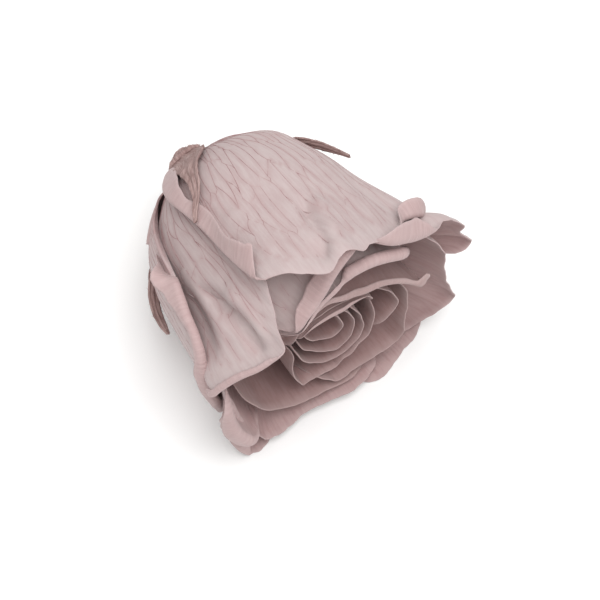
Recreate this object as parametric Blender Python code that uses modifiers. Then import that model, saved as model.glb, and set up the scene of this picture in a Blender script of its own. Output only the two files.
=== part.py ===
"""A preserved rose head lying on its side: layered petals on a receptacle, and a calyx with sepals.

The flower is set out in its own frame, in millimetres: its axis runs from the receptacle to the
open face, turns are counted round that axis (0 to the right, 90 up, 270 on the surface), and
heights are counted along it. The last step tilts it, sets it down and turns millimetres to metres.
"""
from dataclasses import dataclass

import bmesh
import bpy
import numpy as np

MM = 0.001

# The bud's body, which the petals hug: it opens from the receptacle and levels out at its girth
BODY_RADIUS = 22.6
BODY_OPENING = 11.6
BODY_FULLNESS = 1.35
BODY_TIP = -3.0
BODY_START = -1.0
BODY_TOP = 66.0
BODY_SAMPLES = 700

# The body swells near its base, most at this turn and on the side across from it
SWELL = 3.4
SWELL_TURN = 20.0
SWELL_HEIGHT = 2.5
SWELL_LENGTH = 4.5
SWELL_UNEVEN = 0.2
SWELL_START = 2.5

# It has a shoulder on its upper right
SHOULDER = 1.5
SHOULDER_TURN = 50.0
SHOULDER_HEIGHT = 11.0
SHOULDER_LENGTH = 4.5
SHOULDER_WIDTH = 20.0

# How the flower lies: tilted up by this angle, with its own origin over the surface and the box's middle
AXIS_RISE = 7.5
ORIGIN_X = -3.02
ORIGIN_Y = 24.12
ORIGIN_Z = 17.8

# The pressed underside is lowest at three feet round the weight, as x, y and height
FEET = ((-2.6, 5.5, -0.007), (-14.6, -23.8, 0.0), (16.6, -23.9, -0.01))
FOOT_REACH = 1.0
FOOT_SLOPE = 0.05
FOOT_RISE = 0.1

# Petals
PETAL_THICKNESS = 0.62
PETAL_LIFT = 0.3
CLAW_SHARE = 0.22
CLAW_WIDENING = 3.2
LEAN_SHARPNESS = 1.2
LEAST_MARGIN = 0.3
ROOT_STEP = 0.35
OUTER_MESH = (12, 6, 3)
INNER_MESH = (10, 4, 2)
FINE_STEPS = 8
MOST_TURNED = 250.0
LAYER_DEPTH = 20.0

# The receptacle that every petal stands on, as height and radius
RECEPTACLE = ((-1.5, 0.0), (-1.5, 3.3), (0.5, 4.2), (3.5, 7.6), (7.0, 11.2), (11.0, 14.0),
              (15.0, 14.6), (21.0, 12.8), (27.0, 9.5), (32.0, 5.0), (33.5, 0.0))
RECEPTACLE_STEPS = 24

# The calyx: a short hip that ends in the cut through the stem, and five sepals
HIP = ((-1.9, 0.0), (-1.9, 4.6), (-2.5, 4.9), (-3.4, 4.2), (-4.2, 3.0), (-4.6, 2.3), (-5.6, 2.2),
       (-5.6, 0.0))
HIP_STEPS = 24
MERGE_DISTANCE = 0.01
SEPAL_THICKNESS = 0.7
SEPAL_ROWS = 12
SEPAL_COLUMNS = 4
SEPAL_ROOT_HEIGHT = -2.9
SEPAL_ROOT_RADIUS = 3.2
SEPAL_TIP = 0.35
SEPAL_TILT_FROM = 9.0
SEPAL_TILTING = 10.0

# Colours from the photograph, linear
PETAL_COLOUR = (0.50, 0.37, 0.37)
CALYX_COLOUR = (0.30, 0.24, 0.20)


@dataclass
class Petal:
    """One petal, by its free edge and its growth, in millimetres and degrees.

    The rim's rows are turn, height, radius (None lies on the body), the width of the margin that is
    turned over, and by how many degrees. The girth is the share of the body's radius that the petal
    hugs, root counts how many steps up it grows, and middle is the turn of its claw. It leaves the
    body over its last stretch, lean, and comes out of the receptacle at start along the body. Its
    margin is rolled round the radius curl. A petal that rests has nothing between it and the surface.
    """

    name: str
    rim: tuple
    girth: float = 1.0
    root: int = 0
    middle: float = 90.0
    lean: float = 20.0
    start: float = 0.0
    curl: float = 0.8
    rests: bool = False


@dataclass
class Sepal:
    """One sepal, by its middle line as (turn, height, lift over the body) and its widths.

    The widths go with the line's rows. The tilt, in degrees, turns its farther side outwards.
    """

    line: tuple
    widths: tuple
    tilt: float = 0.0


OUTER_PETALS = (
    Petal("top", (
        (2, 20, None), (4, 30, None), (10, 38, 26.2), (20, 42.6, 28.2, 2.5, 110),
        (32, 44.5, 27.0, 4, 150), (43, 46, 25, 4, 150), (49, 48, 23.4, 1.5, 90),
        (58, 49.5, 23.4, 0.5, 30), (70, 50.5, 24), (77, 52, 24.8), (83, 51.5, 26), (95, 53, 25),
        (99, 52, 25.6), (111, 47.5, 26.0), (117.5, 45.4, 25.2, 0.5, 90), (119, 43.6, 24.8, 7, 175),
        (121.3, 38.6, 24.0, 6.6, 175), (123.8, 33.6, None, 6, 175), (126, 28, None, 5.6, 175),
        (129, 22, None, 5, 175), (133, 16, None, 2.8, 165), (138, 10, None, 0.8, 90),
        (142, 6, None, 0.4, 40)), girth=1.02, middle=70),
    Petal("far left", (
        (196, 4, None), (184, 8, None, 0.8, 60), (170, 12.5, None, 2, 130), (157, 18, None, 3.2, 160),
        (151, 24, None, 4.6, 170), (150, 29, 24.0, 5.2, 170), (151.5, 32.5, 24.0, 4.8, 170),
        (155, 36, 24.1, 3.4, 170), (158.5, 39.5, 24.1, 2.6, 165), (164, 42.2, 24.0, 3.2, 160),
        (173, 43.3, 23.9, 4.0, 155), (187, 43.2, 24.2, 4.2, 145), (198, 42.8, 24.7, 4.2, 135),
        (208, 42.2, 25.3, 4.0, 120), (216, 41, 26.6, 2.6, 95), (222, 37, 26.2, 0.8, 60),
        (226, 29, None), (228, 20, None), (229, 13, None)), girth=1.02, middle=190),
    Petal("low right", (
        (262, 18, None), (268, 30, None), (275, 38, 24.8), (281, 45, 26.8), (288, 48, 28),
        (293, 47.6, 29.4), (298, 46.5, 30.3), (305, 45.5, 31.2), (312, 44.6, 31.4), (318, 43, 31.6),
        (324, 40.4, 30.2), (330, 35, 26.4), (335, 26, None), (338, 16, None)),
        girth=1.02, middle=302, lean=18),
    Petal("low tip", (
        (190, 18, None), (193, 32, None), (196, 42, 22.2), (200, 45.8, 22.4, 3, 90),
        (207, 46.6, 23.2, 5, 130), (215, 46.8, 24.4, 5.6, 135), (222, 47, 26.4, 5, 120),
        (227.5, 47.4, 29.4, 2.5, 70), (231, 47.8, 31.8, 0.4, 30), (235, 48, 32.2), (238, 47.4, 30.6),
        (241, 46, 29.2), (248, 44, 27), (256, 39, 25.2), (264, 30, None), (271, 17, None)),
        girth=0.975, root=1, middle=228, lean=15, curl=1.1, rests=True),
    Petal("high right", (
        (-20, 24, None), (-14, 36, 24.4), (-10, 42.6, 27.6), (-7, 45.8, 31.8), (-4, 46.2, 33.2),
        (1, 46.5, 33), (6, 46.2, 31.4), (12, 46.6, 31.2), (18, 46.8, 30.2), (24, 47.2, 28.2, 0.4, 20),
        (29, 48, 25.6, 2, 60), (36, 48.6, 23.6, 4, 110), (46, 49.2, 22.4, 4.5, 120),
        (57, 49.6, 22.2, 4, 110), (65, 48, 22.4, 1, 60), (70, 40, None), (74, 24, None)),
        girth=0.975, root=1, middle=30, lean=13, curl=1.6),
    Petal("left", (
        (104, 22, None), (106, 33, None), (112, 42, 22.4), (118, 46, 22.6), (122, 49, 22.2),
        (127.5, 52.3, 21.3), (133.5, 56, 20.3, 0.3, 30), (141, 55.3, 20.6, 1.6, 200),
        (149, 54.3, 21.4, 2, 240), (158, 52.3, 23.0, 2.8, 280), (167, 50.4, 24.8, 4, 330),
        (173, 49, 25.6, 4.4, 330), (177, 45.5, 24.4, 1, 60), (180, 38, None), (182, 30, None),
        (183, 20, None)), girth=0.93, root=2, middle=143),
    Petal("right", (
        (296, 26, None), (302, 38, 24.2), (309, 42.6, 28), (318, 44, 30.2), (327, 45.8, 31.8),
        (333, 46.6, 32.8), (340, 47, 29.4), (354, 47.5, 26.6), (366, 48, 26), (378, 47.6, 25.4),
        (386, 44, 23.6), (393, 34, None), (398, 20, None)), girth=0.93, root=2, middle=346, lean=16),
    Petal("bottom", (
        (210, 24, None), (217, 38, 24.0), (225, 46.2, 26.4), (233, 48.2, 27.4), (242, 48.5, 28),
        (248, 47.6, 25.6), (255, 47.5, 23.8), (265, 47.8, 24.8), (271, 48, 26.0), (284, 47.8, 26),
        (292, 46.5, 26), (298, 40, 24), (303, 28, None), (305, 18, None)),
        girth=0.885, root=3, middle=258, lean=15),
    Petal("second left", (
        (62, 24, None), (66, 40, None), (71, 46.5, 22.0, 1, 90), (77.5, 49.4, 23.2, 3.5, 140),
        (82, 50, 21.3, 4.8, 160), (89, 50, 18.3, 5.2, 165), (97, 50, 15.8, 5.2, 165),
        (106.5, 50, 14.1, 5.2, 165), (116, 50, 13.4, 4.6, 160), (123, 50, 12.9, 3.6, 150),
        (130, 49.8, 13, 1.2, 110), (138, 48, 13.8, 0.3, 30), (148, 42, 16.5), (156, 32, None),
        (160, 20, None)), girth=0.9, root=3, middle=110, lean=11, curl=1.0),
    Petal("low left", (
        (168, 30, None), (172, 42, None), (180, 47.5, 22.6, 1, 60), (186, 49.4, 23.0, 2.5, 120),
        (197, 49.9, 23.8, 4, 130), (209, 50.2, 24.6, 4.6, 130), (218, 50, 25, 4, 120),
        (223, 48, 24.6, 0.5, 60), (228, 42, 22.4), (233, 30, None), (236, 18, None)),
        girth=0.84, root=4, middle=204, curl=1.2),
    Petal("scroll", (
        (10, 26, None), (20, 38, 19.6), (30, 45.5, 20), (36, 48.8, 19.6, 0.6, 60),
        (40, 49.8, 19.5, 6.0, 360), (53, 50, 18.3, 6.5, 360), (62, 50, 17.7, 6.5, 360),
        (70, 50, 17, 6.5, 360), (76, 50, 16.5, 6.0, 350), (79.5, 50, 15.9, 2.6, 190),
        (87, 50, 14.2, 1.8, 160), (101, 50, 13, 1.6, 150), (116, 50, 11.5, 1.4, 130),
        (131, 49.8, 10.9, 1, 90), (143, 48, 12, 0.3, 30), (150, 40, 14.8), (154, 26, None)),
        girth=0.84, root=4, middle=80, lean=14, curl=1.0),
)

INNER_PETALS = (
    Petal("bottom second", (
        (192, 28, None), (198, 40, 19.6), (205, 46, 20.6), (213, 47, 20.4), (222, 47, 20.6),
        (235, 47.2, 20.4), (249, 47.4, 19.4), (263, 47.4, 19), (272, 47.4, 19.6), (280, 47.2, 20.6),
        (288, 46, 22.4), (298, 43, 23.4), (307, 36, None), (313, 24, None)),
        girth=0.8, root=5, middle=256),
    Petal("third", (
        (-24, 30, None), (-14, 41, 20.4), (-7, 45.5, 22.4, 0.3, 30), (-2.5, 48.2, 22, 2.4, 80),
        (0.5, 49.2, 21, 3.4, 110), (3.5, 49.2, 19.8, 1.6, 140), (13, 49, 16.1, 1.6, 160),
        (22.4, 49, 14.2, 1.8, 165), (35.7, 49, 12.1, 2.2, 170), (49, 49, 10.2, 2.5, 175),
        (62, 49, 9.7, 2.5, 175), (76, 49, 9.5, 2.2, 170), (95, 49, 10.6, 1.8, 160),
        (115, 49, 10.2, 1.2, 130), (135, 48.8, 9.8, 0.5, 60), (152, 47, 10.2), (164, 40, 12),
        (170, 34, 14)), girth=0.76, root=6, middle=72, lean=22),
    Petal("bottom third", (
        (240, 32, 14), (246, 40, 14.5), (254, 44.6, 14.8), (262, 46.8, 15.4), (268, 47, 16.9),
        (278, 47.2, 19.9), (283, 47, 18.9), (291, 47, 19.4), (302, 47, 20.6), (309, 46.8, 23),
        (315, 47, 22.8), (325, 47, 20.8), (337, 47, 19.4), (347, 47, 18.3), (358, 47, 17),
        (364, 46.6, 15.8), (372, 42, 15.4), (378, 34, 15)), girth=0.71, root=6, middle=308),
    Petal("lobe low", (
        (188, 36, 9), (199, 43.5, 8.4), (209, 46.2, 8.6), (217, 46.4, 10), (228, 46.4, 11.8),
        (241, 46.3, 14.6), (249, 46.2, 16), (256, 46.2, 16), (264, 46.2, 16.4), (270, 46.3, 16),
        (276, 46.5, 14.3), (282, 46.7, 13.1), (290, 47, 12.8), (302, 47, 12.6), (312, 47, 12.9),
        (323, 47, 12.1), (336, 47, 11.2), (348, 47, 10.4), (358, 46, 10), (366, 42, 10),
        (372, 36, 10.5)), girth=0.54, root=6, middle=280, start=22),
    Petal("lobe right", (
        (298, 34, 15), (306, 40, 14.6), (315, 44.4, 14.4), (324, 46.6, 14.6), (332, 47, 15.4),
        (338, 47, 16.3), (344, 47, 16.3), (352, 47, 15.2), (361, 47, 13.9), (375, 47, 11.9),
        (385, 47, 10.8), (396, 46, 9.8), (404, 41, 10.1), (410, 34, 10.8)),
        girth=0.6, root=6, middle=346, start=22),
    Petal("upper outer", (
        (30, 38, 12), (42, 45, 10.2), (56, 48.4, 8.6, 0.4, 60), (83, 48.6, 7.8, 0.5, 90),
        (112, 48.6, 8.0, 0.5, 90), (134, 48.6, 8.9, 0.4, 70), (158, 48.2, 9.2), (172, 45, 9.4),
        (178, 38, 10)), girth=0.6, root=6, middle=100, start=24, curl=0.6),
    Petal("ring two", (
        (186, 38, 6.4), (196, 44.6, 7.2), (209, 46, 7.8), (229, 46.2, 8.8), (254.7, 46.2, 10.3),
        (270, 46.4, 11.4), (284, 46.6, 11.6), (297, 46.8, 11), (306, 47, 10.6), (314, 47, 10.4),
        (324, 47, 9.6), (338, 47, 8.1), (362, 47, 6.3), (386, 46.6, 5.7), (398, 42, 5.9)),
        girth=0.46, root=6, middle=290, start=26),
    Petal("upper inner", (
        (-4, 40, 9.4), (2, 46.4, 9.8), (16, 48, 9.9), (31, 48.6, 9.6, 0.3, 40), (41, 49, 9, 0.6, 90),
        (51.5, 49, 7.7, 1, 140), (69, 49, 6.2, 1.3, 150), (90, 49, 6, 1.3, 150),
        (113, 49, 6.4, 1.1, 140), (130, 49, 7.4, 0.8, 110), (146, 48.6, 8, 0.3, 40), (160, 46, 7.8),
        (172, 40, 7.8)), girth=0.44, root=6, middle=90, start=28, curl=0.6),
    Petal("ring one", (
        (182, 39, 5.4), (192, 44.6, 6), (209, 46, 6.2), (242, 46.2, 6.6), (267, 46.4, 8),
        (282, 46.6, 8.9), (298, 46.8, 8.4), (318, 47, 7.4), (340, 47, 6.1), (362, 47, 4.9),
        (386, 46.8, 4.4), (402, 44, 4.4), (412, 40, 4.6)), girth=0.34, root=6, middle=300, start=28),
    Petal("heart", (
        (160, 38, 3.6), (172, 44.6, 4.4), (190, 46, 4.4), (207, 46.2, 4.1), (252, 46.2, 3.9),
        (288, 46.4, 4.5), (314, 46.6, 4.4), (340, 47, 3.5), (366, 47, 2.9), (400, 46.8, 2.7),
        (425, 45, 2.7), (440, 42, 2.9)), girth=0.2, root=6, middle=290, start=30),
)

SEPALS = (
    Sepal((
        (110, -1.6, 3.9), (110, 0.5, 3.3), (110, 4, 2.3), (110, 9, 1.9), (110, 11.5, 1.8),
        (110.5, 14, 1.8), (112, 17, 2.0), (113.5, 20, 2.4), (116, 22.6, 2.8), (120, 25, 3.2),
        (122.5, 27, 3.5)), (6, 8, 9, 9.2, 8.2, 4, 2.9, 2.2, 1.6, 1.1, 0.8)),
    Sepal((
        (218, -1.6, 3.9), (218, 0.5, 3.2), (216, 4, 2.4), (210, 9, 2.0), (203, 12.5, 2.0),
        (199.5, 16, 2.1), (197, 20.5, 2.2), (195.5, 24.5, 2.1), (193, 27, 2.0)),
        (6, 7.5, 8, 6.5, 4, 2.8, 2.4, 1.8, 0.8), tilt=-35),
    Sepal((
        (352, -1.6, 3.9), (354, 0.5, 3.2), (360, 4, 2.4), (371, 8, 1.9), (382, 12, 1.9),
        (385, 15.5, 1.9), (387, 18.5, 2.0), (389.5, 21.5, 2.3), (392.5, 25, 2.9)),
        (6, 7.5, 8, 6, 4, 2.8, 2.2, 1.6, 0.8), tilt=20),
    Sepal((
        (306, -1.6, 3.9), (306, 0.5, 3.4), (306, 4, 2.6), (306, 9, 2.1), (307, 14, 2.0),
        (308, 18, 2.0)), (6, 7.5, 8, 6, 3, 0.8)),
    Sepal((
        (250, -1.6, 3.9), (250, 0.5, 3.4), (250, 4, 2.6), (248, 9, 2.1), (246, 13, 2.0),
        (243, 17, 2.0)), (6, 7.5, 8, 6, 3, 0.8)),
)


def clear_scene():
    """Removes every object and starts the two collections."""
    for item in list(bpy.data.objects):
        bpy.data.objects.remove(item)
    part = bpy.data.collections.new("preserved_rose")
    cutters = bpy.data.collections.new("joined_pieces")
    for collection in (part, cutters):
        bpy.context.scene.collection.children.link(collection)
    return part, cutters


def material(name, colour, roughness):
    """A plain surface of one colour."""
    finish = bpy.data.materials.new(name)
    finish.use_nodes = True
    shader = finish.node_tree.nodes["Principled BSDF"]
    shader.inputs["Base Color"].default_value = (*colour, 1.0)
    shader.inputs["Roughness"].default_value = roughness
    shader.inputs["Metallic"].default_value = 0.0
    return finish


def body_radius(height):
    """Radius of the bud's body at a height over the receptacle."""
    opened = np.maximum(height - BODY_TIP, 0.0) / BODY_OPENING
    return BODY_RADIUS * (1 - np.exp(-opened ** BODY_FULLNESS))


def swell(turn, height):
    """How far the body swells out of its round at a turn and a height."""
    facing = np.cos(np.radians(turn - SWELL_TURN))
    bulge = SWELL * np.exp(-((height - SWELL_HEIGHT) / SWELL_LENGTH) ** 2)
    bulge = bulge * ease((height - BODY_START) / SWELL_START)
    aside = (turn - SHOULDER_TURN + 180) % 360 - 180
    along = (height - SHOULDER_HEIGHT) / SHOULDER_LENGTH
    shoulder = SHOULDER * np.exp(-along ** 2 - (aside / SHOULDER_WIDTH) ** 2)
    return bulge * facing ** 2 * (1 + SWELL_UNEVEN * facing) + shoulder


def body_line():
    """The body's outline as distance along it, height and radius."""
    heights = np.linspace(BODY_START, BODY_TOP, BODY_SAMPLES)
    radii = body_radius(heights)
    distances = np.append(0.0, np.cumsum(np.hypot(np.diff(heights), np.diff(radii))))
    return distances, heights, radii


def ease(share):
    """Runs from 0 to 1 with soft ends."""
    share = np.clip(share, 0.0, 1.0)
    return share * share * (3 - 2 * share)


def smooth_line(points, count):
    """Points evenly spaced along a smooth line through rows that start with turn, height and radius."""
    rows = np.asarray(points, float)
    turns = np.radians(rows[:, 0])
    places = np.stack([rows[:, 2] * np.cos(turns), rows[:, 2] * np.sin(turns), rows[:, 1]], 1)
    steps = np.linalg.norm(np.diff(places, axis=0), axis=1)
    along = np.append(0.0, np.cumsum(np.maximum(steps, LEAST_MARGIN)))
    slopes = np.gradient(rows, along, axis=0)
    wanted = np.linspace(0.0, along[-1], count)
    first = np.clip(np.searchsorted(along, wanted, side="right") - 1, 0, len(along) - 2)
    length = (along[first + 1] - along[first])[:, None]
    t = (wanted - along[first])[:, None] / length
    blend_start = 2 * t ** 3 - 3 * t ** 2 + 1
    slope_start = (t ** 3 - 2 * t ** 2 + t) * length
    slope_end = (t ** 3 - t ** 2) * length
    return (blend_start * rows[first] + slope_start * slopes[first]
            + (1 - blend_start) * rows[first + 1] + slope_end * slopes[first + 1])


def unit(vectors):
    """Vectors scaled to length one."""
    return vectors / (np.linalg.norm(vectors, axis=-1, keepdims=True) + 1e-9)


def petal_rim(petal, columns):
    """The free edge with every radius filled in, evenly spaced."""
    rows = []
    for entry in petal.rim:
        turn, height, radius, margin, turned = (*entry, 0.0, 0.0)[:5]
        if radius is None:
            radius = (body_radius(height) + swell(turn, height)) * petal.girth + PETAL_LIFT
        rows.append((turn, height, radius, margin, min(turned, MOST_TURNED)))
    return smooth_line(rows, columns)


def petal_blade(petal, rim, rows):
    """The sheet from the claw to the free edge, hugging the body and then leaving it for the rim."""
    distances, heights, radii = body_line()
    turn, height, radius = rim[:, 0], rim[:, 1], rim[:, 2]
    end = np.interp(height, heights, distances)
    share = np.linspace(0.0, 1.0, rows)[:, None]
    along = petal.start + (end - petal.start) * share
    lifted = np.interp(along, distances, heights) + ROOT_STEP * petal.root * (1 - share) ** 2
    spread = 1 - (1 - CLAW_SHARE) * (1 - share) ** CLAW_WIDENING
    turns = petal.middle + (turn - petal.middle) * spread
    hugging = (np.interp(along, distances, radii) + swell(turns, lifted)) * petal.girth
    end_hugging = (np.interp(end, distances, radii) + swell(turn, height)) * petal.girth
    leaving = ease((along - end + petal.lean) / petal.lean) ** LEAN_SHARPNESS
    reach = hugging + (radius - end_hugging) * leaving
    turns = np.radians(turns)
    return np.stack([reach * np.cos(turns), reach * np.sin(turns), lifted], -1)


def petal_margin(petal, rim, blade, rows):
    """The rows beyond the free edge, where the margin rolls outwards."""
    edge = blade[-1]
    sideways = unit(np.gradient(edge, axis=0))
    upwards = edge - blade[-2]
    outwards = unit(np.cross(upwards, sideways))
    outwards *= np.sign(np.sum(outwards * edge * [1, 1, 0], axis=1))[:, None]
    ahead = unit(np.cross(sideways, outwards))
    ahead *= np.sign(np.sum(ahead * upwards, axis=1))[:, None]
    width = np.maximum(rim[:, 3], LEAST_MARGIN)[:, None]
    turned = np.radians(np.maximum(rim[:, 4], 0.0))[:, None]
    bend = np.minimum(1.0, petal.curl * turned / width + 1e-6)
    place, margin = edge, []
    for row in range(rows):
        for step in range(FINE_STEPS):
            share = (row + (step + 0.5) / FINE_STEPS) / rows
            angle = turned * np.minimum(1.0, share / bend)
            heading = np.cos(angle) * ahead + np.sin(angle) * outwards
            place = place + width / rows / FINE_STEPS * heading
        margin.append(place)
    return np.array(margin)


def rise_from_feet(places):
    """How far over the surface the pressed petals stay: nothing at the feet, a little away from them."""
    rises = []
    for x, y, height in FEET:
        away = np.hypot(places[..., 0] - x, places[..., 1] - y) - FOOT_REACH
        rises.append(height + np.clip(FOOT_SLOPE * away, 0.0, FOOT_RISE))
    return np.min(rises, axis=0)


def set_down(points, petal=None):
    """Tilts points of the flower and turns them to metres; the surface presses a petal flat."""
    rise = np.radians(AXIS_RISE)
    up, level = np.sin(rise), np.cos(rise)
    axes = np.array([[1.0, 0.0, 0.0], [0.0, up, level], [0.0, -level, up]])
    placed = points @ axes + [ORIGIN_X, ORIGIN_Y, ORIGIN_Z]
    if petal is not None:
        layers_under = 0.0 if petal.rests else LAYER_DEPTH * max(0.0, 1.0 - petal.girth)
        lowest = PETAL_THICKNESS / 2 + layers_under + rise_from_feet(placed)
        placed[..., 2] = np.maximum(placed[..., 2], lowest)
    return placed * MM


def sheet_object(name, grid, thickness, collection):
    """A closed blade made from a sheet of points, with triangles alike on both of its faces."""
    rows, columns = grid.shape[:2]
    index = np.arange(rows * columns).reshape(rows, columns)
    corners = (index[:-1, :-1], index[:-1, 1:], index[1:, 1:], index[1:, :-1])
    quads = np.stack(corners, -1).reshape(-1, 4)
    triangles = np.concatenate([quads[:, [0, 1, 2]], quads[:, [0, 2, 3]]])
    mesh = bpy.data.meshes.new(name)
    mesh.from_pydata(grid.reshape(-1, 3).tolist(), [], triangles.tolist())
    mesh.shade_smooth()
    blade = bpy.data.objects.new(name, mesh)
    collection.objects.link(blade)
    solid = blade.modifiers.new("thickness", "SOLIDIFY")
    solid.thickness = thickness * MM
    solid.offset = 0.0
    solid.use_even_offset = False
    return blade


def turned_object(name, profile, steps, collection):
    """A solid turned round the flower's axis from heights and radii, then tilted and set down."""
    mesh = bpy.data.meshes.new(name)
    points = [(radius * MM, 0.0, height * MM) for height, radius in profile]
    mesh.from_pydata(points, [(i, i + 1) for i in range(len(points) - 1)], [])
    turned = bpy.data.objects.new(name, mesh)
    collection.objects.link(turned)
    screw = turned.modifiers.new("turning", "SCREW")
    screw.steps = steps
    screw.render_steps = steps
    screw.use_merge_vertices = True
    screw.merge_threshold = MERGE_DISTANCE * MM
    apply_modifiers(turned)
    places = np.array([vertex.co for vertex in turned.data.vertices]) / MM
    for vertex, place in zip(turned.data.vertices, set_down(places)):
        vertex.co = place
    face_outwards(turned.data)
    turned.data.shade_smooth()
    return turned


def apply_modifiers(item):
    """Bakes an object's modifiers into its mesh."""
    graph = bpy.context.evaluated_depsgraph_get()
    baked = bpy.data.meshes.new_from_object(item.evaluated_get(graph), depsgraph=graph)
    item.modifiers.clear()
    item.data = baked


def face_outwards(mesh):
    """Turns every face of a closed mesh outwards."""
    work = bmesh.new()
    work.from_mesh(mesh)
    bmesh.ops.recalc_face_normals(work, faces=work.faces)
    if work.calc_volume(signed=True) < 0:
        bmesh.ops.reverse_faces(work, faces=work.faces)
    work.to_mesh(mesh)
    work.free()


def join_all(base, pieces, cutters):
    """Fuses the pieces into the base with one union and removes them."""
    apply_each(pieces)
    union = base.modifiers.new("grown together", "BOOLEAN")
    union.operation = "UNION"
    union.operand_type = "COLLECTION"
    union.solver = "MANIFOLD"
    union.collection = cutters
    apply_modifiers(base)
    for piece in pieces:
        bpy.data.objects.remove(piece)
    keep_outside(base.data)


def apply_each(pieces):
    """Bakes every piece and turns its faces outwards."""
    for piece in pieces:
        apply_modifiers(piece)
        face_outwards(piece.data)


def keep_outside(mesh):
    """Keeps the one outer skin and drops sealed hollows and loose scraps."""
    work = bmesh.new()
    work.from_mesh(mesh)
    bmesh.ops.triangulate(work, faces=work.faces)
    unseen, skins = set(work.verts), []
    while unseen:
        skin, edge = set(), [unseen.pop()]
        while edge:
            vertex = edge.pop()
            skin.add(vertex)
            linked = {link.other_vert(vertex) for link in vertex.link_edges} & unseen
            unseen -= linked
            edge.extend(linked)
        skins.append(skin)
    skins.sort(key=len)
    for skin in skins[:-1]:
        bmesh.ops.delete(work, geom=list(skin), context="VERTS")
    work.to_mesh(mesh)
    work.free()


def make_bloom(part, cutters, finish):
    """Every petal, fused to the receptacle."""
    bloom = turned_object("bloom", RECEPTACLE, RECEPTACLE_STEPS, part)
    pieces = []
    for petals, (columns, rows, margin_rows) in ((OUTER_PETALS, OUTER_MESH), (INNER_PETALS, INNER_MESH)):
        for petal in petals:
            rim = petal_rim(petal, columns)
            blade = petal_blade(petal, rim, rows)
            grid = np.concatenate([blade, petal_margin(petal, rim, blade, margin_rows)])
            pieces.append(sheet_object(petal.name, set_down(grid, petal), PETAL_THICKNESS, cutters))
    join_all(bloom, pieces, cutters)
    bloom.data.materials.clear()
    bloom.data.materials.append(finish)


def sepal_grid(sepal):
    """A tapering blade that follows its line over the body, from a root inside the hip."""
    rows = []
    for (turn, height, lift), width in zip(sepal.line, sepal.widths):
        rows.append((turn, height, body_radius(height) + swell(turn, height) + lift, width))
    line = smooth_line(rows, SEPAL_ROWS)
    root = [(sepal.line[0][0], SEPAL_ROOT_HEIGHT, SEPAL_ROOT_RADIUS, sepal.widths[0])]
    line = np.concatenate([root, line])
    half = np.maximum(0.5 * line[:, 3:4], SEPAL_TIP)
    tilt = np.radians(sepal.tilt) * ease((line[:, 1:2] - SEPAL_TILT_FROM) / SEPAL_TILTING)
    across = np.linspace(-1.0, 1.0, SEPAL_COLUMNS)
    turns = np.radians(line[:, :1]) + half * np.cos(tilt) * across / line[:, 2:3]
    reach = line[:, 2:3] + half * np.sin(tilt) * across
    return np.stack([reach * np.cos(turns), reach * np.sin(turns), line[:, 1:2] + 0 * turns], -1)


def make_calyx(part, cutters, finish):
    """The hip with its cut stem and the five sepals."""
    calyx = turned_object("calyx", HIP, HIP_STEPS, part)
    pieces = []
    for number, sepal in enumerate(SEPALS):
        grid = set_down(sepal_grid(sepal))
        pieces.append(sheet_object(f"sepal {number}", grid, SEPAL_THICKNESS, cutters))
    join_all(calyx, pieces, cutters)
    calyx.data.materials.clear()
    calyx.data.materials.append(finish)


def main():
    """Builds the bloom and the calyx."""
    part, cutters = clear_scene()
    make_bloom(part, cutters, material("petal", PETAL_COLOUR, 0.75))
    make_calyx(part, cutters, material("calyx", CALYX_COLOUR, 0.85))
    cutters.hide_render = True


main()
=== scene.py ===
"""A preserved rose head lying on its side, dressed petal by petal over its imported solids.

Sizes are in millimetres in the flower's own frame. Its axis runs from the receptacle to the open face,
heights are counted along it, and turns in degrees round it: 0 to the right, 90 up, 270 on the surface.
The last step of every piece tilts it, sets it down on the surface and turns millimetres to metres.
"""
import logging
import math
from dataclasses import dataclass
from enum import Enum

import bmesh
import bpy
import numpy as np
from mathutils import Matrix, Vector
from mathutils.geometry import delaunay_2d_cdt
from mathutils.kdtree import KDTree


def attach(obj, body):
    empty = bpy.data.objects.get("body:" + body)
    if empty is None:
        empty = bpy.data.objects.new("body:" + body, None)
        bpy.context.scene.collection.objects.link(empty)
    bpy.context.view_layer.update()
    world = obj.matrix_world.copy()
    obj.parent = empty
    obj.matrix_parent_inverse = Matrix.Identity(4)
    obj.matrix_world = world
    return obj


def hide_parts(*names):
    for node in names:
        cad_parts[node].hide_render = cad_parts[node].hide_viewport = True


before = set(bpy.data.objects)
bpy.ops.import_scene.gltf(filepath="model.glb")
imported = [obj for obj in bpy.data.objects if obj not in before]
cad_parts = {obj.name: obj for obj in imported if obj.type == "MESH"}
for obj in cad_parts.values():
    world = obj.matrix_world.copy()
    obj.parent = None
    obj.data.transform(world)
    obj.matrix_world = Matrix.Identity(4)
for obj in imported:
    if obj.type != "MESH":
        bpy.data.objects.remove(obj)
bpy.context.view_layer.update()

MM = 0.001
BODY = "root"
UV_LAYER = "petal"
UV_SPAN = 100.0
TINY = 1e-6
LEAST_LENGTH = 1e-9
LEAST_STEP = 0.3
EVENED_OVER = 9
RIPPLE_WAVES = 6
RIPPLE_SIZES = (0.5, 1.0)
RIPPLE_LENGTHS = (0.85, 1.15)
RIPPLE_TOTAL = 1.6
# The sockets of a mixing node for two colours and for their blend.
MIXED_COLOURS = (6, 7)
MIXED_RESULT = 2
LOG = logging.getLogger("rose")

Row = tuple[float | None, ...]
Triple = tuple[float, float, float]
Colour = Triple
Span = tuple[float, float]
Range = tuple[float, float, float, float]
Socket = bpy.types.NodeSocket


class Mesh(Enum):
    """How finely a petal is meshed, as columns, rows of the blade and rows of the margin."""

    OUTER = (126, 58, 14)
    INNER = (92, 34, 10)


class Slot(Enum):
    """The record's material slots."""

    PETAL = "petal"
    CALYX = "calyx"


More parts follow.
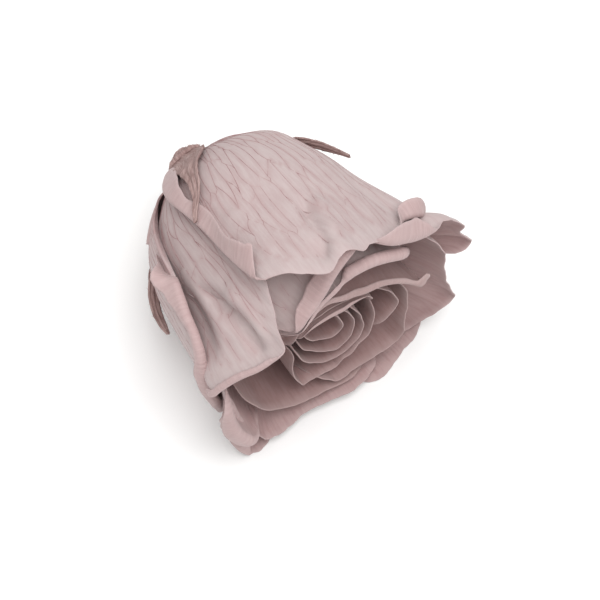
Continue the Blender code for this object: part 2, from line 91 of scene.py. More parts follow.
def ease(share: np.ndarray) -> np.ndarray:
    """Runs from 0 to 1 with soft ends."""
    share = np.clip(share, 0.0, 1.0)
    return share * share * (3 - 2 * share)


def unit(vectors: np.ndarray) -> np.ndarray:
    """Vectors scaled to length one."""
    return vectors / (np.linalg.norm(vectors, axis=-1, keepdims=True) + LEAST_LENGTH)


def normals(grid: np.ndarray) -> np.ndarray:
    """Directions square to a sheet at every point of its grid."""
    return unit(np.cross(np.gradient(grid, axis=0), np.gradient(grid, axis=1)))


def round_axis(turns: np.ndarray, heights: np.ndarray, reach: np.ndarray) -> np.ndarray:
    """Points from their turns in radians, heights and distances from the axis."""
    return np.stack([reach * np.cos(turns), reach * np.sin(turns), heights + 0 * turns], -1)


def distance_along(points: np.ndarray, least: float = 0.0) -> np.ndarray:
    """Distance walked along a line of points, with each step at least as long as given."""
    steps = np.linalg.norm(np.diff(points, axis=0), axis=-1)
    return np.concatenate([np.zeros_like(steps[:1]), np.cumsum(np.maximum(steps, least), axis=0)])


def smooth_line(rows: np.ndarray, count: int) -> np.ndarray:
    """Rows evenly spaced along a smooth line.

    Args:
        rows: rows that start with turn, height and radius.
        count: how many rows to return.

    Returns:
        The rows of the line, with every further column carried along.
    """
    rows = np.asarray(rows, float)
    along = distance_along(round_axis(np.radians(rows[:, 0]), rows[:, 1], rows[:, 2]), LEAST_STEP)
    slopes = np.gradient(rows, along, axis=0)
    wanted = np.linspace(0.0, along[-1], count)
    first = np.clip(np.searchsorted(along, wanted, side="right") - 1, 0, len(along) - 2)
    length = (along[first + 1] - along[first])[:, None]
    t = (wanted - along[first])[:, None] / length
    blend = 2 * t ** 3 - 3 * t ** 2 + 1
    return (blend * rows[first] + (t ** 3 - 2 * t ** 2 + t) * length * slopes[first]
            + (1 - blend) * rows[first + 1] + (t ** 3 - t ** 2) * length * slopes[first + 1])


def smoothed(values: np.ndarray, span: int = EVENED_OVER) -> np.ndarray:
    """A moving average down the rows, over an odd number of them.

    Args:
        values: the rows to even out.
        span: how many rows are averaged.

    Returns:
        The evened rows.
    """
    wide = np.asarray(values, float).reshape(len(values), -1)
    padded = np.pad(wide, ((span // 2, span // 2), (0, 0)), mode="edge")
    total = np.cumsum(np.vstack([np.zeros_like(padded[:1]), padded]), axis=0)
    return ((total[span:] - total[:-span]) / span).reshape(np.shape(values))


def ripple(position: np.ndarray, rng: np.random.Generator, lengths: Span) -> np.ndarray:
    """A seeded irregular wave of about unit height.

    Args:
        position: where along the line it is wanted, in millimetres.
        rng: the draw of its phases and lengths.
        lengths: its shortest and longest wavelength in millimetres.

    Returns:
        The wave's height at each position.
    """
    shortest, longest = lengths
    total = np.zeros_like(position, dtype=float)
    for wavelength in np.geomspace(longest, shortest, RIPPLE_WAVES):
        size = math.sqrt(wavelength / longest) * rng.uniform(*RIPPLE_SIZES)
        length = wavelength * rng.uniform(*RIPPLE_LENGTHS)
        total += size * np.sin(2 * math.pi * position / length + rng.uniform(0, 2 * math.pi))
    return total / RIPPLE_TOTAL


def new_object(name: str, data: bpy.types.ID) -> bpy.types.Object:
    """Makes an object of a mesh, light or camera and puts it in the scene.

    Args:
        name: the object's name.
        data: its mesh, light or camera.

    Returns:
        The object.
    """
    item = bpy.data.objects.new(name, data)
    bpy.context.scene.collection.objects.link(item)
    return item


def bake(item: bpy.types.Object) -> None:
    """Turns an object's modifiers into its plain mesh.

    Args:
        item: the object.
    """
    graph = bpy.context.evaluated_depsgraph_get()
    graph.update()
    mesh = bpy.data.meshes.new_from_object(item.evaluated_get(graph), depsgraph=graph)
    item.modifiers.clear()
    item.data = mesh


def grid_mesh(name: str, grid: np.ndarray, flip: bool = False) -> bpy.types.Mesh:
    """A mesh of quads through a grid of points in millimetres.

    Args:
        name: the mesh's name.
        grid: the points, rows by columns.
        flip: whether the quads face the other way.

    Returns:
        The mesh.
    """
    rows, columns = grid.shape[:2]
    index = np.arange(rows * columns).reshape(rows, columns)
    corners = [index[:-1, :-1], index[:-1, 1:], index[1:, 1:], index[1:, :-1]]
    quads = np.stack(corners, -1).reshape(-1, 4)
    quads = quads[:, ::-1] if flip else quads
    mesh = bpy.data.meshes.new(name)
    mesh.from_pydata((grid.reshape(-1, 3) * MM).tolist(), [], quads.tolist())
    return mesh


def set_field(mesh: bpy.types.Mesh, name: str, values: np.ndarray) -> None:
    """Stores a number at each point of a mesh."""
    attribute = mesh.attributes.new(name, "FLOAT", "POINT")
    attribute.data.foreach_set("value", np.asarray(values).astype(np.float32).ravel())


def lay_out(mesh: bpy.types.Mesh, across: np.ndarray, along: np.ndarray) -> None:
    """Gives a mesh its UV layer, from each point's way across and along in millimetres.

    Args:
        mesh: the mesh.
        across: each point's distance across it.
        along: each point's distance along it.
    """
    loops = np.empty(len(mesh.loops), int)
    mesh.loops.foreach_get("vertex_index", loops)
    uv = np.stack([across.ravel()[loops], along.ravel()[loops]], 1) / UV_SPAN
    mesh.uv_layers.new(name=UV_LAYER).data.foreach_set("uv", uv.astype(np.float32).ravel())


def thicken(sheet: bpy.types.Object, thickness: float, group: str = "") -> None:
    """Gives a sheet its thickness in millimetres, half to each side, less where its group says so.

    Args:
        sheet: the sheet's object.
        thickness: its thickness.
        group: the vertex group that says how much of the thickness each point gets.
    """
    solid = sheet.modifiers.new("thickness", "SOLIDIFY")
    solid.thickness = thickness * MM
    solid.offset = 0.0
    solid.use_even_offset = False
    solid.vertex_group = group
    bake(sheet)


@dataclass(frozen=True)
class Bud:
    """The body that the petals hug, and how the flower lies.

    Its radius grows from the tip towards a limit. A bulge low down and a shoulder over it swell it out of
    its round. The rise is the angle of its axis over the surface, and the origin is where the receptacle
    stands in the shared frame.
    """

    radius: float = 22.6
    opening: float = 11.6
    fullness: float = 1.35
    tip: float = -3.0
    start: float = -1.0
    top: float = 66.0
    steps: int = 700
    rise: float = 7.5
    origin: Triple = (-3.02, 24.12, 17.8)
    bulge: float = 3.4
    bulge_turn: float = 20.0
    bulge_height: float = 2.5
    bulge_length: float = 4.5
    bulge_uneven: float = 0.2
    bulge_start: float = 2.5
    shoulder: float = 1.5
    shoulder_turn: float = 50.0
    shoulder_height: float = 11.0
    shoulder_length: float = 4.5
    shoulder_width: float = 20.0

    def radius_at(self, height: np.ndarray) -> np.ndarray:
        """Radius of the body at a height over the receptacle."""
        opened = np.maximum(np.asarray(height, float) - self.tip, 0.0) / self.opening
        return self.radius * (1 - np.exp(-opened ** self.fullness))

    def swell(self, turn: np.ndarray, height: np.ndarray) -> np.ndarray:
        """How far the body swells out of its round at a turn and a height.

        Args:
            turn: the places' turns, in degrees.
            height: the places' heights, in millimetres.

        Returns:
            The swelling at each place, in millimetres.
        """
        facing = np.cos(np.radians(turn - self.bulge_turn))
        length = np.exp(-((np.asarray(height) - self.bulge_height) / self.bulge_length) ** 2)
        length = length * ease((np.asarray(height) - self.start) / self.bulge_start)
        bulge = self.bulge * length * facing ** 2 * (1 + self.bulge_uneven * facing)
        aside = (np.asarray(turn, float) - self.shoulder_turn + 180) % 360 - 180
        along = (np.asarray(height) - self.shoulder_height) / self.shoulder_length
        return bulge + self.shoulder * np.exp(-along ** 2 - (aside / self.shoulder_width) ** 2)

    def reach(self, turn: float, height: float) -> float:
        """Radius of the swollen body at one place."""
        return float(self.radius_at(height) + self.swell(turn, height))

    def outline(self) -> tuple[np.ndarray, np.ndarray, np.ndarray]:
        """The body's outline as distance along it, height and radius.

        Returns:
            Its distances, heights and radii, from the start to the top.
        """
        heights = np.linspace(self.start, self.top, self.steps)
        radii = self.radius_at(heights)
        return distance_along(np.stack([heights, radii], 1)), heights, radii

    def place(self, points: np.ndarray, lowest: float | None = None) -> np.ndarray:
        """Tilts points, sets them down and turns them to metres.

        Args:
            points: places in the flower's frame, in millimetres.
            lowest: how far over the surface the points stay, where the surface presses them flat.

        Returns:
            Places in the shared frame, in metres.
        """
        rise = math.radians(self.rise)
        up, level = math.sin(rise), math.cos(rise)
        axes = np.array([[1.0, 0.0, 0.0], [0.0, up, level], [0.0, -level, up]])
        placed = points @ axes + self.origin
        if lowest is not None:
            placed[..., 2] = np.maximum(placed[..., 2], lowest)
        return placed * MM


BUD = Bud()


@dataclass(frozen=True)
class Fold:
    """A soft crease along a line of (turn, height): a ridge, or a groove where its depth is negative."""

    line: tuple[Span, ...]
    depth: float = 0.8
    width: float = 2.0
    fade: float = 0.25
    end_depth: float = 0.15
    steps: int = 24

    def press(self, turns: np.ndarray, heights: np.ndarray) -> np.ndarray:
        """How far the crease moves each point of a petal outwards.

        Args:
            turns: the points' turns, in degrees.
            heights: the points' heights, in millimetres.

        Returns:
            The move at each point, in millimetres.
        """
        reach = BUD.radius_at(heights)
        points = [(turn, height, float(BUD.radius_at(height))) for turn, height in self.line]
        rows = smooth_line(points, self.steps)
        nearest = np.full(turns.shape, np.inf)
        where = np.zeros(turns.shape)
        for number, (turn, height, _) in enumerate(rows):
            gap = np.hypot(np.radians(turns - turn) * reach, heights - height)
            closer = gap < nearest
            nearest[closer] = gap[closer]
            where[closer] = number / (len(rows) - 1)
        ends = ease(where / self.fade + self.end_depth) * ease((1 - where) / self.fade + self.end_depth)
        return self.depth * np.exp(-(nearest / self.width) ** 2) * ends


def circumcentre(a: Vector, b: Vector, c: Vector) -> tuple[float, float]:
    """The point that is as far from each of a triangle's corners.

    Args:
        a: its first corner.
        b: its second corner.
        c: its third corner.

    Returns:
        The point's two coordinates.
    """
    corners = ((a, b, c), (b, c, a), (c, a, b))
    twice = 2 * sum(here.x * (after.y - before.y) for here, after, before in corners)
    x = sum(here.length_squared * (after.y - before.y) for here, after, before in corners) / twice
    y = sum(here.length_squared * (before.x - after.x) for here, after, before in corners) / twice
    return x, y


@dataclass(frozen=True)
class VeinNet:
    """The net of veins on a petal's back: the borders of long cells that fan out from the claw.

    Sizes are in millimetres. The start, end and side are shares of the petal, untidy and bowed are shares
    of a cell, dropped is the share of cross veins left out, and a vein stands proud by a share of its
    girth. A vein counts as a cross vein when it runs more across than the crossing's slope.
    """

    across: float = 2.7
    along: float = 10.5
    least_cells: tuple[int, int] = (5, 4)
    thick: float = 0.085
    thin: float = 0.035
    cross_girth: float = 0.75
    crossing: float = 0.7
    side: float = 0.49
    start: float = 0.02
    end: float = 0.95
    untidy: float = 0.42
    untidy_along: float = 0.8
    bowed: float = 0.25
    dropped: float = 0.2
    step: float = 0.8
    proud: float = 0.25
    sunk: float = 0.02
    groove: float = 0.05
    groove_width: float = 0.5

    def counts(self, width: float, length: float) -> tuple[int, int]:
        """How many cells lie across and along a petal."""
        return (max(self.least_cells[0], round(width / self.across)),
                max(self.least_cells[1], round(length / self.along)))

    def cells(self, width: float, length: float, rng: np.random.Generator) -> list[Vector]:
        """Draws the middles of the cells, in cells across and along, staggered and untidy.

        Args:
            width: the petal's rim, in millimetres.
            length: the petal's length, in millimetres.
            rng: the draw of their irregularity.

        Returns:
            The middles.
        """
        columns, rows = self.counts(width, length)
        middles = []
        for row in range(-1, rows + 2):
            for column in range(-2, columns + 3):
                shift = rng.uniform(-self.untidy, self.untidy, 2)
                staggered = column + 0.5 * (row % 2)
                middles.append(Vector((staggered + shift[0], row + 0.5 + self.untidy_along * shift[1])))
        return middles

    def edges(self, width: float, length: float,
              rng: np.random.Generator) -> list[tuple[np.ndarray, np.ndarray]]:
        """Grows the net in shares of the petal's width and length.

        Args:
            width: the petal's rim, in millimetres.
            length: the petal's length from claw to rim, in millimetres.
            rng: the draw of its irregularity.

        Returns:
            Each vein as its points, (share across, share along), and their girths in millimetres.
        """
        middles = self.cells(width, length, rng)
        places, _, faces, *_ = delaunay_2d_cdt(middles, [], [], 0, TINY)
        centres, beside = [], {}
        for number, face in enumerate(faces):
            centres.append(circumcentre(*(places[corner] for corner in face)))
            for pair in ((face[0], face[1]), (face[1], face[2]), (face[2], face[0])):
                beside.setdefault(tuple(sorted(pair)), []).append(number)
        size = np.array(self.counts(width, length), float)
        veins = []
        for pair in sorted(beside):
            if len(beside[pair]) != 2:
                continue
            first, last = (np.array(centres[number]) / size for number in beside[pair])
            gap = np.abs(last - first) * (width, length)
            across = gap[0] > self.crossing * gap[1]
            if across and rng.random() < self.dropped:
                continue
            share = np.linspace(0.0, 1.0, max(3, int(np.hypot(*gap) / self.step)))[:, None]
            bow = np.sin(share * math.pi) * rng.uniform(-self.bowed, self.bowed) / size[0]
            points = first + (last - first) * share + bow * [1.0, 0.0]
            girths = self.thick + (self.thin - self.thick) * ease(points[:, 1])
            girths = girths * (self.cross_girth if across else 1.0)
            inside = ((np.abs(points[:, 0] - 0.5) < self.side) & (points[:, 1] > self.start)
                      & (points[:, 1] < self.end))
            if inside.sum() > 2:
                veins.append((points[inside], girths[inside]))
        return veins


@dataclass(frozen=True)
class Uneven:
    """How a petal's free edge and blade wander, by the shortest and longest wavelengths of its ripples.

    The broad ripples and the small ones on the blade start at their own shares of its length, and are
    calmed where the edge has a margin. The edge itself is frayed only above free_from.
    """

    up: Span = (2.2, 13.0)
    out: Span = (3.4, 15.0)
    margin: Span = (4.0, 18.0)
    margin_share: float = 0.06
    broad: Span = (6.0, 20.0)
    broad_from: float = 0.35
    small: Span = (3.0, 8.0)
    small_share: float = 0.4
    small_shift: float = 9.0
    small_from: float = 0.2
    small_over: float = 0.5
    calmed: float = 0.8
    free_from: float = 30.0
    free_over: float = 12.0


UNEVEN = Uneven()


@dataclass(frozen=True)
class Petal:
    """One petal, by its free edge and its growth, in millimetres and degrees.

    The rim's rows are turn, height, radius (None lies on the body), the width of the margin that is
    turned over, and by how many degrees. The girth is the share of the body's radius that the petal
    hugs, root counts how many steps up it grows, and middle is the turn of its claw. It leaves the
    body over its last stretch, lean, and comes out of the receptacle at start along the body. Its
    margin is rolled round the radius curl. A petal that rests has nothing between it and the surface.
    Wave and fray are the heights of the ripples in its blade and on its free edge.
    """

    name: str
    rim: tuple[Row, ...]
    girth: float = 1.0
    root: int = 0
    middle: float = 90.0
    lean: float = 20.0
    start: float = 0.0
    curl: float = 0.8
    rests: bool = False
    folds: tuple[Fold, ...] = ()
    wave: float = 0.16
    fray: float = 0.18
    net: VeinNet | None = None
    mesh: Mesh = Mesh.OUTER
    thickness: float = 0.36
    edge_width: float = 0.9
    edge_thinned: float = 0.5
    lift: float = 0.3
    clearance: float = 0.15
    claw_share: float = 0.22
    claw_widening: float = 3.2
    root_step: float = 0.35
    leaving: float = 1.2
    layer_depth: float = 20.0
    least_margin: float = 0.3
    full_margin: float = 1.5
    full_turn: float = 90.0
    edge_turned: float = 0.5
    margin_steps: int = 3
    rows_below: int = 3
    seed: int = 3

    def rng(self) -> np.random.Generator:
        """The petal's own seeded draw."""
        seed = sum(ord(letter) * (place + self.seed) for place, letter in enumerate(self.name))
        return np.random.default_rng(seed)

    def has_margin(self, widths: np.ndarray) -> np.ndarray:
        """How fully the margin is there, from 0 to 1, by its width."""
        return ease(widths / self.full_margin)

    def rim_line(self) -> np.ndarray:
        """The free edge with every radius filled in, evenly spaced and slightly frayed.

        Returns:
            Rows of turn, height, radius, margin width, degrees turned and distance along the edge.
        """
        rows = []
        for entry in self.rim:
            turn, height, radius, margin, turned = (*entry, 0.0, 0.0)[:5]
            if radius is None:
                radius = BUD.reach(turn, height) * self.girth + self.lift
            rows.append((turn, height, radius, margin, turned))
        line = smooth_line(rows, self.mesh.value[0])
        along = distance_along(round_axis(np.radians(line[:, 0]), line[:, 1], line[:, 2]))
        rng = self.rng()
        free = ease((line[:, 1] - UNEVEN.free_from) / UNEVEN.free_over) * (1 - self.has_margin(line[:, 3]))
        line[:, 1] += self.fray * free * ripple(along, rng, UNEVEN.up)
        line[:, 2] += self.fray * free * ripple(along, rng, UNEVEN.out)
        line[:, 3] *= 1 + UNEVEN.margin_share * ripple(along, rng, UNEVEN.margin)
        return np.column_stack([line, along])

    def blade(self, rim: np.ndarray) -> np.ndarray:
        """The sheet from the claw to the free edge, with its waves and folds.

        Args:
            rim: the free edge from rim_line.

        Returns:
            A grid of places, rows by columns, in the flower's frame.
        """
        distances, heights, radii = BUD.outline()
        turn, height, radius = rim[:, 0], rim[:, 1], rim[:, 2]
        end = np.interp(height, heights, distances)
        share = np.linspace(0.0, 1.0, self.mesh.value[1])[:, None]
        along = self.start + (end - self.start) * share
        lifted = np.interp(along, distances, heights) + self.root_step * self.root * (1 - share) ** 2
        spread = 1 - (1 - self.claw_share) * (1 - share) ** self.claw_widening
        turns = self.middle + (turn - self.middle) * spread
        hugging = (np.interp(along, distances, radii) + BUD.swell(turns, lifted)) * self.girth
        end_hugging = (np.interp(end, distances, radii) + BUD.swell(turn, height)) * self.girth
        leaving = ease((along - end + self.lean) / self.lean) ** self.leaving
        reach = hugging + (radius - end_hugging) * leaving
        rng = self.rng()
        calm = 1 - UNEVEN.calmed * smoothed(self.has_margin(rim[:, 3]))
        broad = ease((share - UNEVEN.broad_from) / (1 - UNEVEN.broad_from))
        small = ease((share - UNEVEN.small_from) / UNEVEN.small_over)
        wavy = self.wave * calm * ripple(rim[:, 5], rng, UNEVEN.broad) * broad
        ripples = ripple(rim[:, 5] + UNEVEN.small_shift * share, rng, UNEVEN.small) * small
        wavy = wavy + UNEVEN.small_share * self.wave * calm * ripples
        for fold in self.folds:
            wavy = wavy + fold.press(turns, lifted + 0 * turns)
        grid = round_axis(np.radians(turns), lifted, reach)
        return grid + self.outwards(grid) * wavy[..., None]

    @staticmethod
    def outwards(grid: np.ndarray) -> np.ndarray:
        """The direction away from the flower's axis, square to the sheet, at every point of a grid.

        Args:
            grid: places in the flower's frame.

        Returns:
            A direction for every place.
        """
        normal = normals(grid)
        side = np.sum(normal * grid * [1, 1, 0], axis=-1).mean()
        return normal if side >= 0 else -normal

    def margin(self, rim: np.ndarray, blade: np.ndarray) -> np.ndarray:
        """The rows beyond the free edge, where the margin rolls outwards.

        Args:
            rim: the free edge from rim_line.
            blade: the sheet from blade.

        Returns:
            A grid of places, margin rows by columns.
        """
        edge = blade[-1]
        sideways = unit(smoothed(np.gradient(edge, axis=0)))
        upwards = smoothed(edge - blade[-1 - self.rows_below])
        outwards = unit(np.cross(upwards, sideways))
        outwards *= np.sign(np.sum(outwards * edge * [1, 1, 0], axis=1))[:, None]
        outwards = unit(smoothed(outwards))
        ahead = np.cross(sideways, outwards)
        ahead *= np.sign(np.sum(ahead * upwards, axis=1))[:, None]
        ahead = unit(smoothed(ahead))
        width = np.maximum(rim[:, 3], self.least_margin)[:, None]
        turned = np.radians(np.maximum(rim[:, 4], 0.0))[:, None]
        bend = np.minimum(1.0, self.curl * turned / width + TINY)
        rows, steps = self.mesh.value[2], self.margin_steps
        place, margin = edge, []
        for row in range(rows):
            for step in range(steps):
                share = (row + (step + 0.5) / steps) / rows
                angle = turned * np.minimum(1.0, share / bend)
                place = place + width / rows / steps * (np.cos(angle) * ahead + np.sin(angle) * outwards)
            margin.append(place)
        return np.array(margin)

    def build(self, skin: bpy.types.Material, vein: bpy.types.Material) -> list[bpy.types.Object]:
        """Makes the petal and, where it has one, its net of veins.

        Args:
            skin: the petal's material.
            vein: the veins' material.

        Returns:
            The petal's object, and the veins' object where there are veins.
        """
        rim = self.rim_line()
        blade = self.blade(rim)
        rows = len(blade)
        layers_under = 0.0 if self.rests else self.layer_depth * max(0.0, 1.0 - self.girth)
        lowest = self.thickness / 2 + self.clearance + layers_under
        grid = BUD.place(np.concatenate([blade, self.margin(rim, blade)]), lowest) / MM
        close = np.zeros(grid.shape[:2])
        pieces = []
        if self.net:
            length = float(np.median(distance_along(grid[:rows])[-1]))
            veins = self.net.edges(rim[-1, 5], length, self.rng())
            close[:rows] = self.near_veins(grid[:rows], veins)
            grid[:rows] -= self.world_normals(grid)[:rows] * self.net.groove * close[:rows, :, None]
            pieces.append(self.vein_object(grid[:rows], veins, vein))
        petal = self.petal_object(grid, rows, rim, close, skin)
        return [petal, *pieces]

    def near_veins(self, blade: np.ndarray, veins: list[tuple[np.ndarray, np.ndarray]]) -> np.ndarray:
        """How close every point of the placed blade lies to a vein, from 0 to 1.

        Args:
            blade: the placed blade, in millimetres.
            veins: the net from VeinNet.edges.

        Returns:
            The closeness, rows by columns.
        """
        walked = np.concatenate([self.on_sheet(blade, points) for points, _ in veins])
        tree = KDTree(len(walked))
        for number, point in enumerate(walked):
            tree.insert(point, number)
        tree.balance()
        gaps = np.array([tree.find(point)[2] for point in blade.reshape(-1, 3)]).reshape(blade.shape[:2])
        return np.exp(-(gaps / self.net.groove_width) ** 2)

    def world_normals(self, grid: np.ndarray) -> np.ndarray:
        """Directions out of the petal's back at every point of its placed grid.

        Args:
            grid: the placed points, in millimetres.

        Returns:
            A direction for every point.
        """
        normal = normals(grid)
        rise = math.radians(BUD.rise)
        axis = np.array([0.0, -math.cos(rise), math.sin(rise)])
        from_axis = grid - BUD.origin
        from_axis = from_axis - (from_axis @ axis)[..., None] * axis
        rows = self.mesh.value[1]
        return normal * (1 if np.sum(normal[:rows] * from_axis[:rows]) >= 0 else -1)

    @staticmethod
    def on_sheet(grid: np.ndarray, shares: np.ndarray) -> np.ndarray:
        """Places on a grid at (share across, share along).

        Args:
            grid: the grid's points.
            shares: how far across and along each wanted place is.

        Returns:
            The places.
        """
        rows, columns = grid.shape[:2]
        across = np.clip(shares[:, 0], 0, 1) * (columns - 1)
        along = np.clip(shares[:, 1], 0, 1) * (rows - 1)
        i, j = np.minimum(along.astype(int), rows - 2), np.minimum(across.astype(int), columns - 2)
        s, t = (along - i)[:, None], (across - j)[:, None]
        lower = grid[i, j] * (1 - t) + grid[i, j + 1] * t
        upper = grid[i + 1, j] * (1 - t) + grid[i + 1, j + 1] * t
        return lower * (1 - s) + upper * s

    def petal_object(self, grid: np.ndarray, rows: int, rim: np.ndarray, close: np.ndarray,
                     skin: bpy.types.Material) -> bpy.types.Object:
        """Turns the placed grid into a thin closed petal.

        Args:
            grid: the placed points, in millimetres.
            rows: how many of its rows are the blade.
            rim: the free edge from rim_line.
            close: how close each point lies to a vein, from 0 to 1.
            skin: the petal's material.

        Returns:
            The petal's object.
        """
        corner = grid[0, 0]
        facing = np.cross(grid[0, 1] - corner, grid[1, 0] - corner) @ self.world_normals(grid)[0, 0]
        mesh = grid_mesh(self.name, grid, facing < 0)
        along = distance_along(grid)
        turned = np.zeros(grid.shape[:2])
        turned[rows:] = self.has_margin(rim[:, 3]) * ease(rim[:, 4] / self.full_turn)
        turned[rows - 2:rows] = turned[rows] * self.edge_turned
        growth = np.clip(along / np.maximum(along[rows - 1], TINY), 0, 1)
        edge = ease(1 - (along[-1] - along) / self.edge_width)
        for name, values in {"turned": turned, "growth": growth, "edge": edge, "near_vein": close}.items():
            set_field(mesh, name, values)
        lay_out(mesh, np.broadcast_to(rim[:, 5], grid.shape[:2]), along)
        mesh.materials.append(skin)
        petal = new_object(self.name, mesh)
        group = petal.vertex_groups.new(name="thickness")
        weights = np.round((1 - self.edge_thinned * edge).ravel(), 1)
        for level in np.unique(weights):
            group.add(np.flatnonzero(weights == level).tolist(), float(level), "REPLACE")
        thicken(petal, self.thickness, group.name)
        inside = np.zeros(len(petal.data.vertices))
        inside[edge.size:] = 1.0
        set_field(petal.data, "inside", inside)
        petal.data.shade_smooth()
        return petal

    def vein_object(self, blade: np.ndarray, veins: list[tuple[np.ndarray, np.ndarray]],
                    material: bpy.types.Material) -> bpy.types.Object:
        """Lays the net of veins on the petal's back.

        Args:
            blade: the placed blade, in millimetres.
            veins: the net from VeinNet.edges.
            material: the veins' material.

        Returns:
            The veins' object.
        """
        outwards = self.world_normals(blade)
        points, edges, girths = [], [], []
        for shares, girth in veins:
            lift = self.thickness / 2 + self.net.proud * girth[:, None] - self.net.sunk
            places = self.on_sheet(blade, shares) + unit(self.on_sheet(outwards, shares)) * lift
            start = len(points)
            points += places.tolist()
            girths += girth.tolist()
            edges += [(start + step, start + step + 1) for step in range(len(places) - 1)]
        mesh = bpy.data.meshes.new(f"veins_{self.name}")
        mesh.from_pydata((np.array(points) * MM).tolist(), edges, [])
        set_field(mesh, "girth", np.array(girths) * MM)
        item = new_object(mesh.name, mesh)
        grow = item.modifiers.new("veins", "NODES")
        grow.node_group = vein_tree(material)
        set_input(grow, "Girth", 1.0)
        set_input(grow, "Sides", 4)
        bake(item)
        return item


def set_input(modifier: bpy.types.NodesModifier, name: str, value: float | int) -> None:
    """Sets a named input of a Geometry Nodes modifier by its socket's identifier.

    Args:
        modifier: the modifier.
        name: the input's name.
        value: its value.
    """
    for item in modifier.node_group.interface.items_tree:
        if item.item_type == "SOCKET" and item.in_out == "INPUT" and item.name == name:
            modifier[item.identifier] = value


class Tree:
    """A tree of nodes, with short calls that add them."""

    def __init__(self, tree: bpy.types.NodeTree) -> None:
        """Takes the tree that the nodes are added to."""
        self.tree = tree

    def feed(self, node: bpy.types.Node, inputs: dict[str | int, object]) -> None:
        """Gives a node's inputs, by name or number, a value or a socket to link.

        Args:
            node: the node.
            inputs: the value or socket of each input.
        """
        for key, value in inputs.items():
            if isinstance(value, Socket):
                self.tree.links.new(value, node.inputs[key])
            else:
                node.inputs[key].default_value = value

    def add(self, kind: str, inputs: dict[str | int, object], **settings: object) -> bpy.types.NodeOutputs:
        """Adds a node.

        Args:
            kind: the node's type.
            inputs: a value or a socket for each input by name or number.
            settings: the node's properties.

        Returns:
            The node's outputs.
        """
        node = self.tree.nodes.new(kind)
        for name, value in settings.items():
            setattr(node, name, value)
        self.feed(node, inputs)
        return node.outputs

    def product(self, first: Socket, second: Socket | float) -> Socket:
        """One value times another."""
        return self.add("ShaderNodeMath", {0: first, 1: second}, operation="MULTIPLY")[0]


class GeometryTree(Tree):
    """A Geometry Nodes tree with named inputs."""

    def __init__(self, name: str, inputs: dict[str, tuple[str, float]]) -> None:
        """Starts a tree with its inputs.

        Args:
            name: the tree's name.
            inputs: the kind of each input's socket, and its value.
        """
        super().__init__(bpy.data.node_groups.new(name, "GeometryNodeTree"))
        sockets = self.tree.interface
        sockets.new_socket(name="Geometry", in_out="INPUT", socket_type="NodeSocketGeometry")
        for label, (kind, value) in inputs.items():
            sockets.new_socket(name=label, in_out="INPUT", socket_type=kind).default_value = value
        sockets.new_socket(name="Geometry", in_out="OUTPUT", socket_type="NodeSocketGeometry")
        self.given = self.tree.nodes.new("NodeGroupInput").outputs

    def finish(self, geometry: Socket, material: bpy.types.Material) -> bpy.types.NodeTree:
        """Realizes the instances, sets the material and gives the geometry out.

        Args:
            geometry: what the tree has made.
            material: its material.

        Returns:
            The finished tree.
        """
        real = self.add("GeometryNodeRealizeInstances", {"Geometry": geometry})
        painted = self.add("GeometryNodeSetMaterial", {"Geometry": real["Geometry"], "Material": material})
        self.add("NodeGroupOutput", {"Geometry": painted["Geometry"]})
        return self.tree


def vein_tree(material: bpy.types.Material) -> bpy.types.NodeTree:
    """The tree that gives lines on a petal their round section, by the girth of each point.

    Args:
        material: the veins' material.

    Returns:
        The tree, made once.
    """
    found = bpy.data.node_groups.get("vein net")
    if found:
        return found
    tree = GeometryTree("vein net", {"Girth": ("NodeSocketFloat", 1.0), "Sides": ("NodeSocketInt", 5)})
    curve = tree.add("GeometryNodeMeshToCurve", {"Mesh": tree.given["Geometry"]})
    girth = tree.add("GeometryNodeInputNamedAttribute", {"Name": "girth"}, data_type="FLOAT")
    scale = tree.product(girth["Attribute"], tree.given["Girth"])
    circle = tree.add("GeometryNodeCurvePrimitiveCircle", {
        "Radius": 1.0, "Resolution": tree.given["Sides"]})
    tube = tree.add("GeometryNodeCurveToMesh", {
        "Curve": curve["Curve"], "Scale": scale, "Profile Curve": circle["Curve"], "Fill Caps": True})
    smooth = tree.add("GeometryNodeSetShadeSmooth", {"Geometry": tube["Mesh"]})
    return tree.finish(smooth["Geometry"], material)


@dataclass(frozen=True)
class Noise:
    """A noise by its scale, octaves and roughness, and its stretch where it lies along a sheet."""

    scale: float
    detail: float = 3.0
    rough: float = 0.5
    stretch: Triple | None = None


